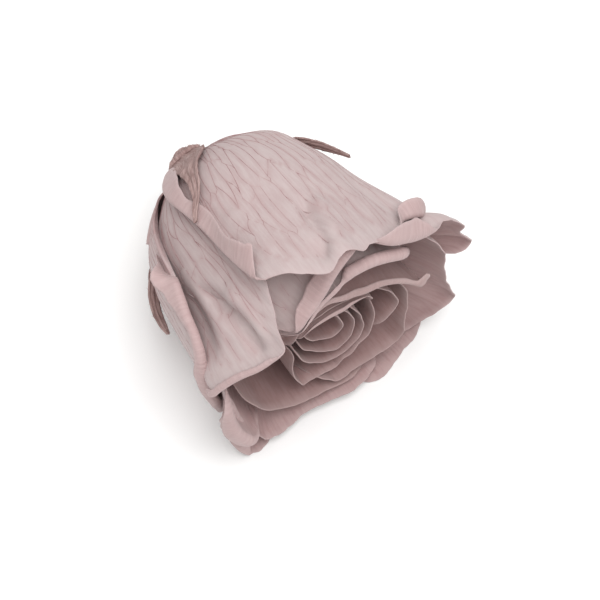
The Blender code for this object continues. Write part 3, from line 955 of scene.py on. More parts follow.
class Skin(Tree):
    """A material with a Principled shader, and short calls for the nodes that the finishes use."""

    def __init__(self, name: str) -> None:
        """Starts a material with its shader.

        Args:
            name: the material's name.
        """
        self.material = bpy.data.materials.new(name)
        self.material.use_nodes = True
        super().__init__(self.material.node_tree)

    def field(self, name: str) -> Socket:
        """A number that the mesh carries."""
        return self.add("ShaderNodeAttribute", {}, attribute_name=name)["Fac"]

    def noise(self, kind: Noise) -> Socket:
        """Adds noise, on the sheet's own coordinates where it is stretched.

        Args:
            kind: the noise.

        Returns:
            Its value, about 0.5 on average.
        """
        if kind.stretch:
            uv = self.add("ShaderNodeUVMap", {}, uv_map=UV_LAYER)["UV"]
            place = self.add("ShaderNodeMapping", {"Vector": uv, "Scale": kind.stretch})["Vector"]
        else:
            place = self.add("ShaderNodeTexCoord", {})["Object"]
        return self.add("ShaderNodeTexNoise", {
            "Vector": place, "Scale": kind.scale, "Detail": kind.detail, "Roughness": kind.rough})["Fac"]

    def span(self, value: Socket, low: float, high: float, to_low: float = 0.0,
             to_high: float = 1.0) -> Socket:
        """Maps a range of a value to another range, clamped.

        Args:
            value: the value.
            low: where the range starts.
            high: where it ends.
            to_low: what its start becomes.
            to_high: what its end becomes.

        Returns:
            The mapped value, with soft ends.
        """
        return self.add("ShaderNodeMapRange", {
            "Value": value, "From Min": low, "From Max": high, "To Min": to_low, "To Max": to_high},
            clamp=True, interpolation_type="SMOOTHSTEP")["Result"]

    def mix(self, share: Socket, first: Socket | Colour, second: Socket | Colour) -> Socket:
        """Blends two colours by a share.

        Args:
            share: how much of the second colour there is.
            first: a colour or a socket.
            second: a colour or a socket.

        Returns:
            The blend.
        """
        ends = [(*colour, 1.0) if isinstance(colour, tuple) else colour for colour in (first, second)]
        inputs = {0: share, MIXED_COLOURS[0]: ends[0], MIXED_COLOURS[1]: ends[1]}
        return self.add("ShaderNodeMix", inputs, data_type="RGBA")[MIXED_RESULT]

    def finish(self, inputs: dict[str, Socket | float],
               heights: tuple[tuple[Socket, float], ...] = ()) -> bpy.types.Material:
        """Completes the material.

        Args:
            inputs: a value or a socket for each of the shader's inputs.
            heights: bumps to stack, each a height and how deep it is in millimetres.

        Returns:
            The material.
        """
        below = {}
        for height, depth in heights:
            bumped = self.add("ShaderNodeBump", {
                "Strength": 1.0, "Distance": depth * MM, "Height": height, **below})
            below = {"Normal": bumped["Normal"]}
        self.feed(self.tree.nodes["Principled BSDF"], {**inputs, **below})
        return self.material


@dataclass(frozen=True)
class PetalFinish:
    """The matt, papery skin of a preserved petal: greyish on its back, pinker on its inner face.

    The ranges turn a noise into a share of the shade's colour, and the depths are in millimetres. The edge
    colour is painted highlight on the free edges and the turned margins, and the claw colour darkens each
    petal towards its base, partly as its own deeper tint and partly as painted shade.
    """

    name: str
    back: Colour
    back_shade: Colour
    face: Colour
    face_shade: Colour
    claw: Colour
    # painted highlight colour, laid on the lit free edges and turned margins
    edge: Colour
    vein: Colour
    fibre: Noise = Noise(1.3, 5.0, 0.6, (100.0, 14.0, 1.0))
    fine: Noise = Noise(3.4, 4.0, 0.6, (100.0, 22.0, 1.0))
    cross: Noise = Noise(1.7, stretch=(100.0, 9.0, 1.0))
    patch: Noise = Noise(150.0)
    grain: Noise = Noise(2200.0, rough=0.6)
    streaks: Range = (0.40, 0.66, 0.0, 0.55)
    patches: Range = (0.45, 0.70, 0.0, 0.45)
    ridges: Range = (0.42, 0.62, 0.0, 0.5)
    turned_highlight_share: float = 0.4
    vein_share: float = 0.45
    edge_highlight_share: float = 0.4
    claw_share: float = 0.85
    claw_darkening_reach: float = 0.45
    roughness: float = 0.72
    sheen: float = 0.12
    gloss: float = 0.25
    fibre_depth: float = 0.05
    fine_depth: float = 0.03
    wrinkle_depth: float = 0.2
    flat_wrinkles: float = 0.15
    grain_depth: float = 0.012

    def build(self) -> bpy.types.Material:
        """Makes the material from the petal's own coordinates and fields.

        Returns:
            The material.
        """
        make = Skin(self.name)
        fibre, fine, cross, patch, grain = (
            make.noise(kind) for kind in (self.fibre, self.fine, self.cross, self.patch, self.grain))
        turned = make.field("turned")
        streaks, patches = make.span(fibre, *self.streaks), make.span(patch, *self.patches)
        back = make.mix(patches, make.mix(streaks, self.back, self.back_shade), self.back_shade)
        face = make.mix(patches, make.mix(streaks, self.face, self.face_shade), self.face_shade)
        face = make.mix(make.product(make.span(cross, *self.ridges), turned), face, self.face_shade)
        # painted light: the turned-over margins are lightened towards the edge colour, for strips that face
        # the light while the faces beside them lie in shade
        face = make.mix(make.product(turned, self.turned_highlight_share), face, self.edge)
        back = make.mix(make.product(make.field("near_vein"), self.vein_share), back, self.vein)
        colour = make.mix(make.field("inside"), back, face)
        # darker towards the claw: partly the petal's own deeper tint at its base, partly painted shade for
        # the deep parts of the flower
        claw_tint_and_shade_mask = make.span(make.field("growth"), 0.0, self.claw_darkening_reach, self.claw_share, 0.0)
        colour = make.mix(claw_tint_and_shade_mask, colour, self.claw)
        # painted highlight: the free edge is blended towards the pale edge colour, for rims that catch the
        # light
        colour = make.mix(make.product(make.field("edge"), self.edge_highlight_share), colour, self.edge)
        wrinkles = make.product(cross, make.span(turned, 0.0, 1.0, self.flat_wrinkles, 1.0))
        return make.finish(
            {"Base Color": colour, "Roughness": self.roughness, "Sheen Weight": self.sheen,
             "Specular IOR Level": self.gloss},
            ((fibre, self.fibre_depth), (fine, self.fine_depth), (wrinkles, self.wrinkle_depth),
             (grain, self.grain_depth)))


@dataclass(frozen=True)
class VeinFinish:
    """The dark thin line of a vein."""

    name: str = "vein"
    dark: Colour = (0.34, 0.19, 0.19)
    pale: Colour = (0.45, 0.305, 0.30)
    patch: Noise = Noise(260.0)
    patches: Span = (0.42, 0.62)
    patch_depth: float = 0.02
    roughness: float = 0.8

    def build(self) -> bpy.types.Material:
        """Makes the material, paler here and there.

        Returns:
            The material.
        """
        make = Skin(self.name)
        patch = make.noise(self.patch)
        colour = make.mix(make.span(patch, *self.patches), self.dark, self.pale)
        return make.finish({"Base Color": colour, "Roughness": self.roughness},
                           ((patch, self.patch_depth),))


@dataclass(frozen=True)
class CalyxFinish:
    """The fibrous taupe skin of the hip and sepals."""

    name: str = "calyx"
    light: Colour = (0.43, 0.30, 0.28)
    dark: Colour = (0.25, 0.155, 0.145)
    fibre: Noise = Noise(2.4, 5.0, 0.65, (100.0, 10.0, 1.0))
    patch: Noise = Noise(240.0, 4.0, 0.6)
    grain: Noise = Noise(2600.0, rough=0.6)
    fibres: Span = (0.36, 0.62)
    patches: Range = (0.45, 0.68, 0.0, 0.5)
    depths: Triple = (0.14, 0.1, 0.02)
    roughness: float = 0.85

    def build(self) -> bpy.types.Material:
        """Makes the material, with fibres along the sepals.

        Returns:
            The material.
        """
        make = Skin(self.name)
        fibre, patch, grain = (make.noise(kind) for kind in (self.fibre, self.patch, self.grain))
        colour = make.mix(make.span(fibre, *self.fibres), self.dark, self.light)
        colour = make.mix(make.span(patch, *self.patches), colour, self.dark)
        return make.finish({"Base Color": colour, "Roughness": self.roughness},
                           tuple(zip((fibre, patch, grain), self.depths)))


OUTER_PETALS: tuple[Petal, ...] = (
    Petal("petal_top", (
        (2, 20, None), (4, 30, None), (10, 38, 24.8), (20, 42, 25.8, 2.2, 110), (31, 44.4, 26.2, 4.4, 140),
        (41, 45.2, 24, 3.4, 150), (48, 47.6, 23.2, 1.5, 90), (58, 49.5, 23.4, 0.5, 30), (70, 50.5, 24),
        (77, 52, 24.8), (83, 51.5, 26), (95, 53, 25), (99, 52, 25.6), (110, 48, 26.0),
        (116.2, 46.4, 25.5, 0.2, 170), (117.0, 45.5, 25.3, 0.5, 175), (117.4, 43.6, 25.0, 6.0, 175),
        (118, 41, 24.6, 6.2, 175), (119.2, 36.5, 24.0, 5.6, 175), (120.8, 31, None, 5.0, 175),
        (123, 25, None, 4.2, 175), (125.6, 20, None, 4.0, 175), (128.4, 15.5, None, 5.2, 172),
        (130, 11.5, None, 5.4, 170), (130, 8, None, 4.2, 168), (131, 5, None, 2, 150)),
        girth=1.02, middle=70, curl=0.6, net=VeinNet(), folds=(
            Fold(((80, 35), (84.5, 42), (87, 46), (90.5, 48.5), (92.5, 51.5)), depth=-1.7, width=1.1),
            Fold(((74, 36), (79.5, 43), (83.5, 47.5)), depth=0.9, width=2.2),
            Fold(((94, 32), (96, 42), (97, 49)), depth=0.45, width=2.6),
            Fold(((112, 28), (107, 36), (104, 44)), depth=0.35, width=2.4),
            Fold(((45, 30), (40, 38), (36, 44)), depth=-0.5, width=2.2))),
    Petal("petal_far_left", (
        (212, 4, None), (194, 7, None), (178, 10, None), (166, 13.5, None, 0.3, 90),
        (158, 17.5, 18.8, 1.2, 150), (153, 21.5, 20.6, 3.0, 168), (150.4, 25.5, 22.3, 4.6, 170),
        (150, 29, 23.6, 5.2, 170), (151.5, 32.5, 24.0, 4.8, 170),
        (155, 36, 24.1, 3.4, 170), (158.5, 39.5, 24.1, 2.6, 165), (164, 42.2, 24.0, 3.2, 160),
        (173, 43.6, 23.9, 3.4, 150), (187, 44, 23.8, 3.0, 135), (198, 43.6, 23.9, 2.6, 120),
        (208, 42.6, 24.4, 2.4, 110), (216, 41, 25.6, 1.6, 95), (222, 37, 25.4, 0.6, 60), (226, 29, None),
        (228, 20, None), (229, 13, None)),
        girth=1.02, middle=190, net=VeinNet()),
    Petal("petal_low_right", (
        (262, 18, None), (268, 30, None), (275, 38, 24.8), (281, 45, 26.8), (288, 48, 28),
        (293, 47.6, 29.4), (298, 46.5, 30.3), (305, 45.5, 31.2), (312, 44.6, 31.4), (318, 43, 31.6),
        (324, 40.4, 30.2), (330, 35, 26.4), (335, 26, None), (338, 16, None)),
        girth=1.02, middle=302, lean=18, net=VeinNet()),
    Petal("petal_low_tip", (
        (190, 18, None), (193, 32, None), (196, 42, 22.2), (200, 45.8, 22.4, 3, 90),
        (207, 46.6, 23.2, 5, 130), (215, 46.8, 24.4, 5.6, 135), (222, 47, 26.4, 5, 120),
        (227.5, 47.4, 29.4, 2.5, 70), (231, 47.8, 31.8, 0.4, 30), (235, 48, 32.2), (238, 47.4, 30.6),
        (241, 46, 29.2), (248, 44, 27), (256, 39, 25.2), (264, 30, None), (271, 17, None)),
        girth=0.975, root=1, middle=228, lean=15, curl=1.1, rests=True, net=VeinNet()),
    Petal("petal_high_right", (
        (-17, 24, None), (-11, 36, 24.4), (-7, 42.6, 27.8), (-4, 45.8, 32.2), (-1.5, 46, 33.8),
        (2.5, 46.9, 32.8), (6.5, 45.9, 31.2), (11, 46.9, 31.9), (18, 46.9, 30.8), (25, 47.2, 28.6, 0.4, 20),
        (29, 48, 25.6, 2.6, 70), (36, 48.6, 23.6, 5.6, 118), (46, 49.2, 22.4, 6.2, 124),
        (57, 49.6, 22.2, 5, 112), (65, 48, 22.4, 1, 60), (70, 40, None), (74, 24, None)),
        girth=0.975, root=1, middle=30, lean=13, curl=1.6, net=VeinNet()),
    Petal("petal_left", (
        (104, 22, None), (106, 33, None), (112, 42, 22.4), (118, 46, 22.6), (122, 49, 22.2),
        (127.5, 52.3, 21.3), (133.5, 56, 20.3, 0.3, 30), (141, 55.3, 20.6, 1.6, 200),
        (149, 54.3, 21.4, 2, 240), (158, 52.3, 23.0, 2.6, 290), (167, 50.4, 24.8, 3, 330),
        (173, 49, 25.6, 3.2, 330), (177, 45.5, 24.4, 1, 60), (180, 38, None), (182, 30, None),
        (183, 20, None)),
        girth=0.93, root=2, middle=143, curl=0.5, net=VeinNet(), folds=(
            Fold(((149, 33), (146, 37), (143, 41), (140.5, 46), (141.5, 50), (144.5, 54)),
                 depth=-1.9, width=1.6),
            Fold(((136.5, 38), (134.5, 43), (135.4, 48.5), (136, 53.5)), depth=1.3, width=2.2),
            Fold(((158, 30), (160, 38), (164, 46)), depth=-0.8, width=2.0),
            Fold(((150, 26), (151, 36), (155, 46)), depth=0.5, width=2.2))),
    Petal("petal_right", (
        (296, 26, None), (302, 38, 24.2), (309, 42.6, 28), (318, 44, 30.2), (327, 45.8, 31.8),
        (333, 46.6, 32.8), (340, 47, 29.4), (354, 47.5, 26.6), (366, 48, 26), (378, 47.6, 25.4),
        (386, 44, 23.6), (393, 34, None), (398, 20, None)),
        girth=0.93, root=2, middle=346, lean=16, net=VeinNet()),
    Petal("petal_bottom", (
        (210, 24, None), (217, 38, 24.0), (225, 46.2, 26.4), (233, 48.2, 27.4), (242, 48.5, 28),
        (248, 47.6, 25.6), (255, 47.5, 23.8), (265, 47.8, 24.8), (271, 48, 26.0), (284, 47.8, 26),
        (292, 46.5, 26), (298, 40, 24), (303, 28, None), (305, 18, None)),
        girth=0.885, root=3, middle=258, lean=15, net=VeinNet()),
    Petal("petal_second_left", (
        (62, 24, None), (66, 40, None), (71, 46.5, 21.6, 0.6, 90), (77.5, 49.4, 22.0, 2.6, 140),
        (82, 50, 21.3, 4.8, 160), (89, 50, 18.3, 5.2, 165), (97, 50, 15.8, 5.2, 165),
        (106.5, 50, 14.1, 5.2, 165), (116, 50, 13.4, 4.6, 160), (123, 50, 12.9, 3.6, 150),
        (130, 49.8, 13, 1.2, 110), (138, 48, 13.8, 0.3, 30), (148, 42, 16.5), (156, 32, None),
        (160, 20, None)),
        girth=0.9, root=3, middle=110, lean=11, curl=1.0, net=VeinNet()),
    Petal("petal_low_left", (
        (168, 30, None), (172, 42, None), (180, 47.5, 22.6, 1, 60), (186, 49.4, 23.0, 2.5, 120),
        (197, 49.9, 23.8, 4, 130), (209, 50.2, 24.6, 4.6, 130), (218, 50, 25, 4, 120),
        (223, 48, 24.6, 0.5, 60), (228, 42, 22.4), (233, 30, None), (236, 18, None)),
        girth=0.84, root=4, middle=204, curl=1.2, net=VeinNet()),
    Petal("petal_scroll", (
        (10, 26, None), (20, 38, 19.6), (30, 45.5, 20), (36, 48.8, 19.6, 0.6, 60),
        (40, 49.8, 19.5, 6.0, 330), (53, 50, 18.3, 6.5, 330), (62, 50, 17.7, 6.5, 330),
        (70, 50, 17, 6.5, 330), (76, 50, 16.5, 6.0, 330), (79.5, 50, 15.9, 2.6, 190),
        (87, 50, 14.2, 1.8, 160), (101, 50, 13, 1.6, 150), (116, 50, 11.5, 1.4, 130),
        (131, 49.8, 10.9, 1, 90), (143, 48, 12, 0.3, 30), (150, 40, 14.8), (154, 26, None)),
        girth=0.84, root=4, middle=80, lean=14, curl=1.0, net=VeinNet()),
)

INNER = {"mesh": Mesh.INNER, "wave": 0.08, "fray": 0.11}

INNER_PETALS: tuple[Petal, ...] = (
    Petal("petal_bottom_second", (
        (192, 28, None), (198, 40, 19.6), (205, 46, 20.6), (213, 47, 20.4), (222, 47, 20.6),
        (235, 47.2, 20.4), (249, 47.4, 19.4), (263, 47.4, 19), (272, 47.4, 19.6), (280, 47.2, 20.6),
        (288, 46, 22.4), (298, 43, 23.4), (307, 36, None), (313, 24, None)),
        girth=0.8, root=5, middle=256, **INNER),
    Petal("petal_third", (
        (-24, 30, None), (-14, 41, 20.0), (-7, 45.5, 21.2, 0.3, 30), (-2.5, 48, 20.2, 2.4, 80),
        (0.5, 49.2, 19.0, 3.4, 110), (4.5, 49.2, 18.0, 1.6, 140), (13, 49, 16.0, 1.6, 160),
        (22.4, 49, 14.2, 1.8, 165), (35.7, 49, 12.1, 2.2, 170), (49, 49, 10.2, 2.5, 175),
        (62, 49, 9.7, 2.5, 175), (76, 49, 9.5, 2.2, 170), (95, 49, 10.6, 1.8, 160),
        (115, 49, 10.2, 1.2, 130), (135, 48.8, 9.8, 0.5, 60), (152, 47, 10.2), (164, 40, 12),
        (170, 34, 14)),
        girth=0.76, root=6, middle=72, lean=22, **INNER),
    Petal("petal_bottom_third", (
        (240, 32, 14), (246, 40, 14.5), (254, 44.6, 14.8), (262, 46.8, 15.4), (268, 47, 16.9),
        (278, 47.2, 19.9), (283, 47, 18.9), (291, 47, 19.4), (302, 47, 20.6), (309, 46.8, 23),
        (315, 47, 22.8), (325, 47, 20.8), (337, 47, 19.4), (347, 47, 18.3), (358, 47, 17),
        (364, 46.6, 15.8), (372, 42, 15.4), (378, 34, 15)),
        girth=0.71, root=6, middle=308, **INNER),
    Petal("petal_lobe_low", (
        (188, 36, 9), (199, 43.5, 8.4), (209, 46.2, 8.6), (217, 46.4, 10), (228, 46.4, 11.8),
        (241, 46.3, 14.6), (249, 46.2, 16), (256, 46.2, 16), (264, 46.2, 16.4), (270, 46.3, 16),
        (276, 46.5, 14.3), (282, 46.7, 13.1), (290, 47, 12.8), (302, 47, 12.6), (312, 47, 12.9),
        (323, 47, 12.1), (336, 47, 11.2), (348, 47, 10.4), (358, 46, 10), (366, 42, 10), (372, 36, 10.5)),
        girth=0.54, root=6, middle=280, start=22, **INNER),
    Petal("petal_lobe_right", (
        (298, 34, 15), (306, 40, 14.6), (315, 44.4, 14.4), (324, 46.6, 14.6), (332, 47, 15.4),
        (338, 47, 16.3), (344, 47, 16.3), (352, 47, 15.2), (361, 47, 13.9), (375, 47, 11.9),
        (385, 47, 10.8), (396, 46, 9.8), (404, 41, 10.1), (410, 34, 10.8)),
        girth=0.6, root=6, middle=346, start=22, **INNER),
    Petal("petal_upper_outer", (
        (30, 38, 12), (42, 45, 10.2), (56, 48.4, 8.6, 0.4, 60), (83, 48.6, 7.8, 0.5, 90),
        (112, 48.6, 8.0, 0.5, 90), (134, 48.6, 8.9, 0.4, 70), (158, 48.2, 9.2), (172, 45, 9.4),
        (178, 38, 10)),
        girth=0.6, root=6, middle=100, start=24, curl=0.6, **INNER),
    Petal("petal_ring_two", (
        (186, 38, 6.4), (196, 44.6, 7.2), (209, 46, 7.8), (229, 46.2, 8.8), (254.7, 46.2, 10.3),
        (270, 46.4, 11.4), (284, 46.6, 11.6), (297, 46.8, 11), (306, 47, 10.6), (314, 47, 10.4),
        (324, 47, 9.6), (338, 47, 8.1), (362, 47, 6.3), (386, 46.6, 5.7), (398, 42, 5.9)),
        girth=0.46, root=6, middle=290, start=26, **INNER),
    Petal("petal_upper_inner", (
        (-4, 40, 9.4), (2, 46.4, 9.8), (16, 48, 9.9), (31, 48.6, 9.6, 0.3, 40), (41, 49, 9, 0.6, 90),
        (51.5, 49, 7.7, 1, 140), (69, 49, 6.2, 1.3, 150), (90, 49, 6, 1.3, 150), (113, 49, 6.4, 1.1, 140),
        (130, 49, 7.4, 0.8, 110), (146, 48.6, 8, 0.3, 40), (160, 46, 7.8), (172, 40, 7.8)),
        girth=0.44, root=6, middle=90, start=28, curl=0.6, **INNER),
    Petal("petal_ring_one", (
        (182, 39, 5.4), (192, 44.6, 6), (209, 46, 6.2), (242, 46.2, 6.6), (267, 46.4, 8), (282, 46.6, 8.9),
        (298, 46.8, 8.4), (318, 47, 7.4), (340, 47, 6.1), (362, 47, 4.9), (386, 46.8, 4.4), (402, 44, 4.4),
        (412, 40, 4.6)),
        girth=0.34, root=6, middle=300, start=28, **INNER),
    Petal("petal_heart", (
        (160, 38, 3.6), (172, 44.6, 4.4), (190, 46, 4.4), (207, 46.2, 4.1), (252, 46.2, 3.9),
        (288, 46.4, 4.5), (314, 46.6, 4.4), (340, 47, 3.5), (366, 47, 2.9), (400, 46.8, 2.7),
        (425, 45, 2.7), (440, 42, 2.9)),
        girth=0.2, root=6, middle=290, start=30, **INNER),
)


def face_outwards(mesh: bpy.types.Mesh) -> None:
    """Turns every face of a closed mesh outwards.

    Args:
        mesh: the mesh.
    """
    work = bmesh.new()
    work.from_mesh(mesh)
    bmesh.ops.recalc_face_normals(work, faces=work.faces)
    if work.calc_volume(signed=True) < 0:
        bmesh.ops.reverse_faces(work, faces=work.faces)
    work.to_mesh(mesh)
    work.free()


@dataclass(frozen=True)
class RoundBody:
    """A closed solid round the flower's axis, by its profile of (height, radius) in millimetres.

    It has a few broad lobes over the height lobed_from, and finer ribs, each a share of its radius deep.
    """

    name: str
    profile: tuple[Span, ...]
    lobes: int = 5
    lobe_depth: float = 0.05
    lobed_from: float = -4.6
    lobed_over: float = 2.0
    ribs: tuple[int, int] = (17, 9)
    rib_depths: Span = (0.02, 0.015)
    rib_shift: float = 2.0
    columns: int = 60
    rows: int = 70
    uv_radius: float = 4.0

    def build(self, finish: bpy.types.Material) -> bpy.types.Object:
        """Makes the solid.

        Args:
            finish: its material.

        Returns:
            The solid's object.
        """
        stops = distance_along(np.array(self.profile))
        wanted = np.linspace(0.0, stops[-1], self.rows)[1:-1]
        heights, radii = (np.interp(wanted, stops, column)[:, None] for column in zip(*self.profile))
        turns = np.linspace(0, 2 * math.pi, self.columns, endpoint=False)
        lobed = ease((heights - self.lobed_from) / self.lobed_over)
        swell = 1 + self.lobe_depth * np.cos(self.lobes * turns) * lobed
        swell = swell + self.rib_depths[0] * np.cos(self.ribs[0] * turns + self.rib_shift)
        swell = swell + self.rib_depths[1] * np.sin(self.ribs[1] * turns + heights)
        grid = round_axis(turns, heights, radii * swell)
        ends = np.array([[0, 0, self.profile[0][0]], [0, 0, self.profile[-1][0]]], float)
        points = BUD.place(np.concatenate([grid.reshape(-1, 3), ends]))
        index = np.arange(len(wanted) * self.columns).reshape(-1, self.columns)
        beside = np.roll(index, -1, axis=1)
        faces = np.stack([index[:-1], beside[:-1], beside[1:], index[1:]], -1).reshape(-1, 4).tolist()
        first, last = len(points) - 2, len(points) - 1
        faces += [(first, b, a) for a, b in zip(index[0].tolist(), beside[0].tolist())]
        faces += [(last, a, b) for a, b in zip(index[-1].tolist(), beside[-1].tolist())]
        mesh = bpy.data.meshes.new(self.name)
        mesh.from_pydata(points.tolist(), [], faces)
        across = np.append(np.tile(turns * self.uv_radius, len(wanted)), [0.0, 0.0])
        lay_out(mesh, across, np.append(np.repeat(wanted, self.columns), [0.0, stops[-1]]))
        mesh.materials.append(finish)
        face_outwards(mesh)
        mesh.shade_smooth()
        return new_object(self.name, mesh)


RECEPTACLE = RoundBody("receptacle", (
    (18.5, 0.0), (18.5, 7.0), (17.5, 11.5), (15.5, 13.4), (12.0, 12.8), (8.0, 10.3), (6.0, 8.7),
    (4.0, 6.8), (2.0, 4.8), (0.0, 3.3), (-2.2, 3.4), (-2.2, 0.0)))

HIP = RoundBody("calyx_hip", (
    (-1.9, 0.0), (-1.9, 4.6), (-2.5, 4.9), (-3.4, 4.2), (-4.2, 3.0), (-4.6, 2.3), (-5.5, 2.2),
    (-5.6, 2.05), (-5.6, 0.0)))


@dataclass(frozen=True)
class Bloom:
    """Every petal of the flower, from the outermost to the heart, and the receptacle inside them."""

    receptacle: RoundBody = RECEPTACLE
    outer: tuple[Petal, ...] = OUTER_PETALS
    inner: tuple[Petal, ...] = INNER_PETALS
    # In both finishes the edge colour is painted highlight and the claw colour a darker base, partly
    # painted shade.
    outer_finish: PetalFinish = PetalFinish(
        "petal outer", back=(0.50, 0.412, 0.405), back_shade=(0.44, 0.335, 0.332),
        face=(0.46, 0.322, 0.315), face_shade=(0.37, 0.232, 0.228),
        claw=(0.39, 0.255, 0.25), edge=(0.53, 0.415, 0.41), vein=(0.38, 0.235, 0.235))
    # painted shade: the inner petals get a darker, redder copy of the petal skin for the shade and the red
    # bounced light deep in the heart, and their claw colour darkens them all the way up
    inner_shaded_finish: PetalFinish = PetalFinish(
        "petal inner", back=(0.40, 0.28, 0.27), back_shade=(0.33, 0.215, 0.205),
        face=(0.42, 0.285, 0.275), face_shade=(0.33, 0.20, 0.19),
        claw=(0.20, 0.105, 0.10), edge=(0.52, 0.41, 0.40), vein=(0.27, 0.17, 0.18),
        fibre_depth=0.04, fine_depth=0.024, claw_darkening_reach=1.5)
    vein_finish: VeinFinish = VeinFinish()

    def build(self) -> list[bpy.types.Object]:
        """Makes the receptacle and every petal with its veins.

        Returns:
            The objects, the receptacle first.
        """
        outer, inner, vein = self.outer_finish.build(), self.inner_shaded_finish.build(), self.vein_finish.build()
        pieces = [self.receptacle.build(inner)]
        for petals, skin in ((self.outer, outer), (self.inner, inner)):
            for petal in petals:
                pieces += petal.build(skin, vein)
        for piece in pieces:
            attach(piece, BODY)
            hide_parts("bloom")
        return pieces


@dataclass(frozen=True)
class Sepal:
    """One sepal, by its middle line as (turn, height, lift over the body, width).

    The tilt, in degrees, turns its farther side outwards. Its ridges rise by the relief, in millimetres,
    and sway a little along it, and its two sides rise by the cup, a share of its half width.
    """

    name: str
    line: tuple[tuple[float, float, float, float], ...]
    tilt: float = 0.0
    tilted_from: float = 9.0
    tilted_over: float = 10.0
    ridges: float = 2.5
    ridge_sway: float = 0.6
    ridge_bends: float = 5.0
    relief: float = 0.18
    ridged_from: float = 1.5
    cup: float = 0.12
    uneven: float = 0.05
    uneven_lengths: Span = (1.5, 7.0)
    length: float = 40.0
    least_half: float = 0.12
    thickness: float = 0.4
    root: Span = (-2.9, 3.2)
    seed: int = 7
    rows: int = 96
    columns: int = 21

    def build(self, finish: bpy.types.Material) -> bpy.types.Object:
        """Makes the sepal as a ridged, slightly cupped blade.

        Args:
            finish: the calyx's material.

        Returns:
            The sepal's object.
        """
        grid = self.grid()
        mesh = grid_mesh(self.name, grid)
        lay_out(mesh, distance_along(grid.transpose(1, 0, 2)).T, distance_along(grid))
        mesh.materials.append(finish)
        sepal = new_object(self.name, mesh)
        thicken(sepal, self.thickness)
        face_outwards(sepal.data)
        sepal.data.shade_smooth()
        return sepal

    def grid(self) -> np.ndarray:
        """Lays the ridged and cupped blade over the body.

        Returns:
            The placed points in millimetres, rows along the blade by columns across.
        """
        rng = np.random.default_rng(len(self.name) * self.seed + int(self.line[0][0]))
        points = [(self.line[0][0], *self.root, self.line[0][3])]
        points += [(turn, height, BUD.reach(turn, height) + lift, width)
                   for turn, height, lift, width in self.line]
        line = smooth_line(points, self.rows)
        share = np.linspace(0.0, 1.0, self.rows)
        half = np.maximum(0.5 * line[:, 3], self.least_half)
        half *= 1 + self.uneven * ripple(share * self.length, rng, self.uneven_lengths)
        across = np.linspace(-1.0, 1.0, self.columns)
        tilt = (math.radians(self.tilt) * ease((line[:, 1] - self.tilted_from) / self.tilted_over))[:, None]
        sway = self.ridge_sway * np.sin(share[:, None] * self.ridge_bends)
        ridge = np.cos(across * math.pi * self.ridges + sway)
        bed = self.relief * ridge * np.minimum(1.0, half / self.ridged_from)[:, None]
        raised = bed + self.cup * half[:, None] * across ** 2
        wide = half[:, None] * across
        turns = np.radians(line[:, :1]) + (wide * np.cos(tilt) - raised * np.sin(tilt)) / line[:, 2:3]
        reach = line[:, 2:3] + raised * np.cos(tilt) + wide * np.sin(tilt)
        return BUD.place(round_axis(turns, line[:, 1:2], reach), self.thickness) / MM


@dataclass(frozen=True)
class Down:
    """The fine down on the hip and sepals: hairs to a square metre, and their sizes in millimetres.

    The hairs' own sizes are shares of the length, and each leans and turns by up to so many radians.
    """

    density: float = 1.6e6
    length: float = 0.7
    girth: float = 0.03
    sides: int = 3
    sizes: Span = (0.4, 1.3)
    lean: float = 0.9
    turn: float = 6.0
    seed: int = 11

    def tree(self, finish: bpy.types.Material) -> bpy.types.NodeTree:
        """The tree that stands tapered hairs on a surface.

        Args:
            finish: the hairs' material.

        Returns:
            The tree, made once.
        """
        found = bpy.data.node_groups.get("down")
        if found:
            return found
        tree = GeometryTree("down", {
            "Density": ("NodeSocketFloat", self.density), "Length": ("NodeSocketFloat", self.length * MM),
            "Girth": ("NodeSocketFloat", self.girth * MM), "Seed": ("NodeSocketInt", self.seed)})
        given = tree.given
        places = tree.add("GeometryNodeDistributePointsOnFaces", {
            "Mesh": given["Geometry"], "Density": given["Density"], "Seed": given["Seed"]})
        hair = tree.add("GeometryNodeMeshCone", {
            "Vertices": self.sides, "Radius Bottom": given["Girth"], "Depth": given["Length"]})
        size = tree.add("FunctionNodeRandomValue", {2: self.sizes[0], 3: self.sizes[1]})
        lean = tree.add("FunctionNodeRandomValue", {
            0: (-self.lean, -self.lean, 0.0), 1: (self.lean, self.lean, self.turn)},
            data_type="FLOAT_VECTOR")
        turn = tree.add("FunctionNodeRotateRotation", {
            "Rotation": places["Rotation"], "Rotate By": lean["Value"]}, rotation_space="LOCAL")
        stood = tree.add("GeometryNodeInstanceOnPoints", {
            "Points": places["Points"], "Instance": hair["Mesh"], "Rotation": turn["Rotation"],
            "Scale": size[1]})
        return tree.finish(stood["Instances"], finish)

    def build(self, base: bpy.types.Object, finish: bpy.types.Material) -> bpy.types.Object:
        """Grows down on a piece.

        Args:
            base: the piece that it grows on.
            finish: the hairs' material.

        Returns:
            The hairs' object.
        """
        down = new_object(f"down_{base.name}", base.data.copy())
        grow = down.modifiers.new("down", "NODES")
        grow.node_group = self.tree(finish)
        set_input(grow, "Seed", self.seed + len(base.name))
        bake(down)
        return down


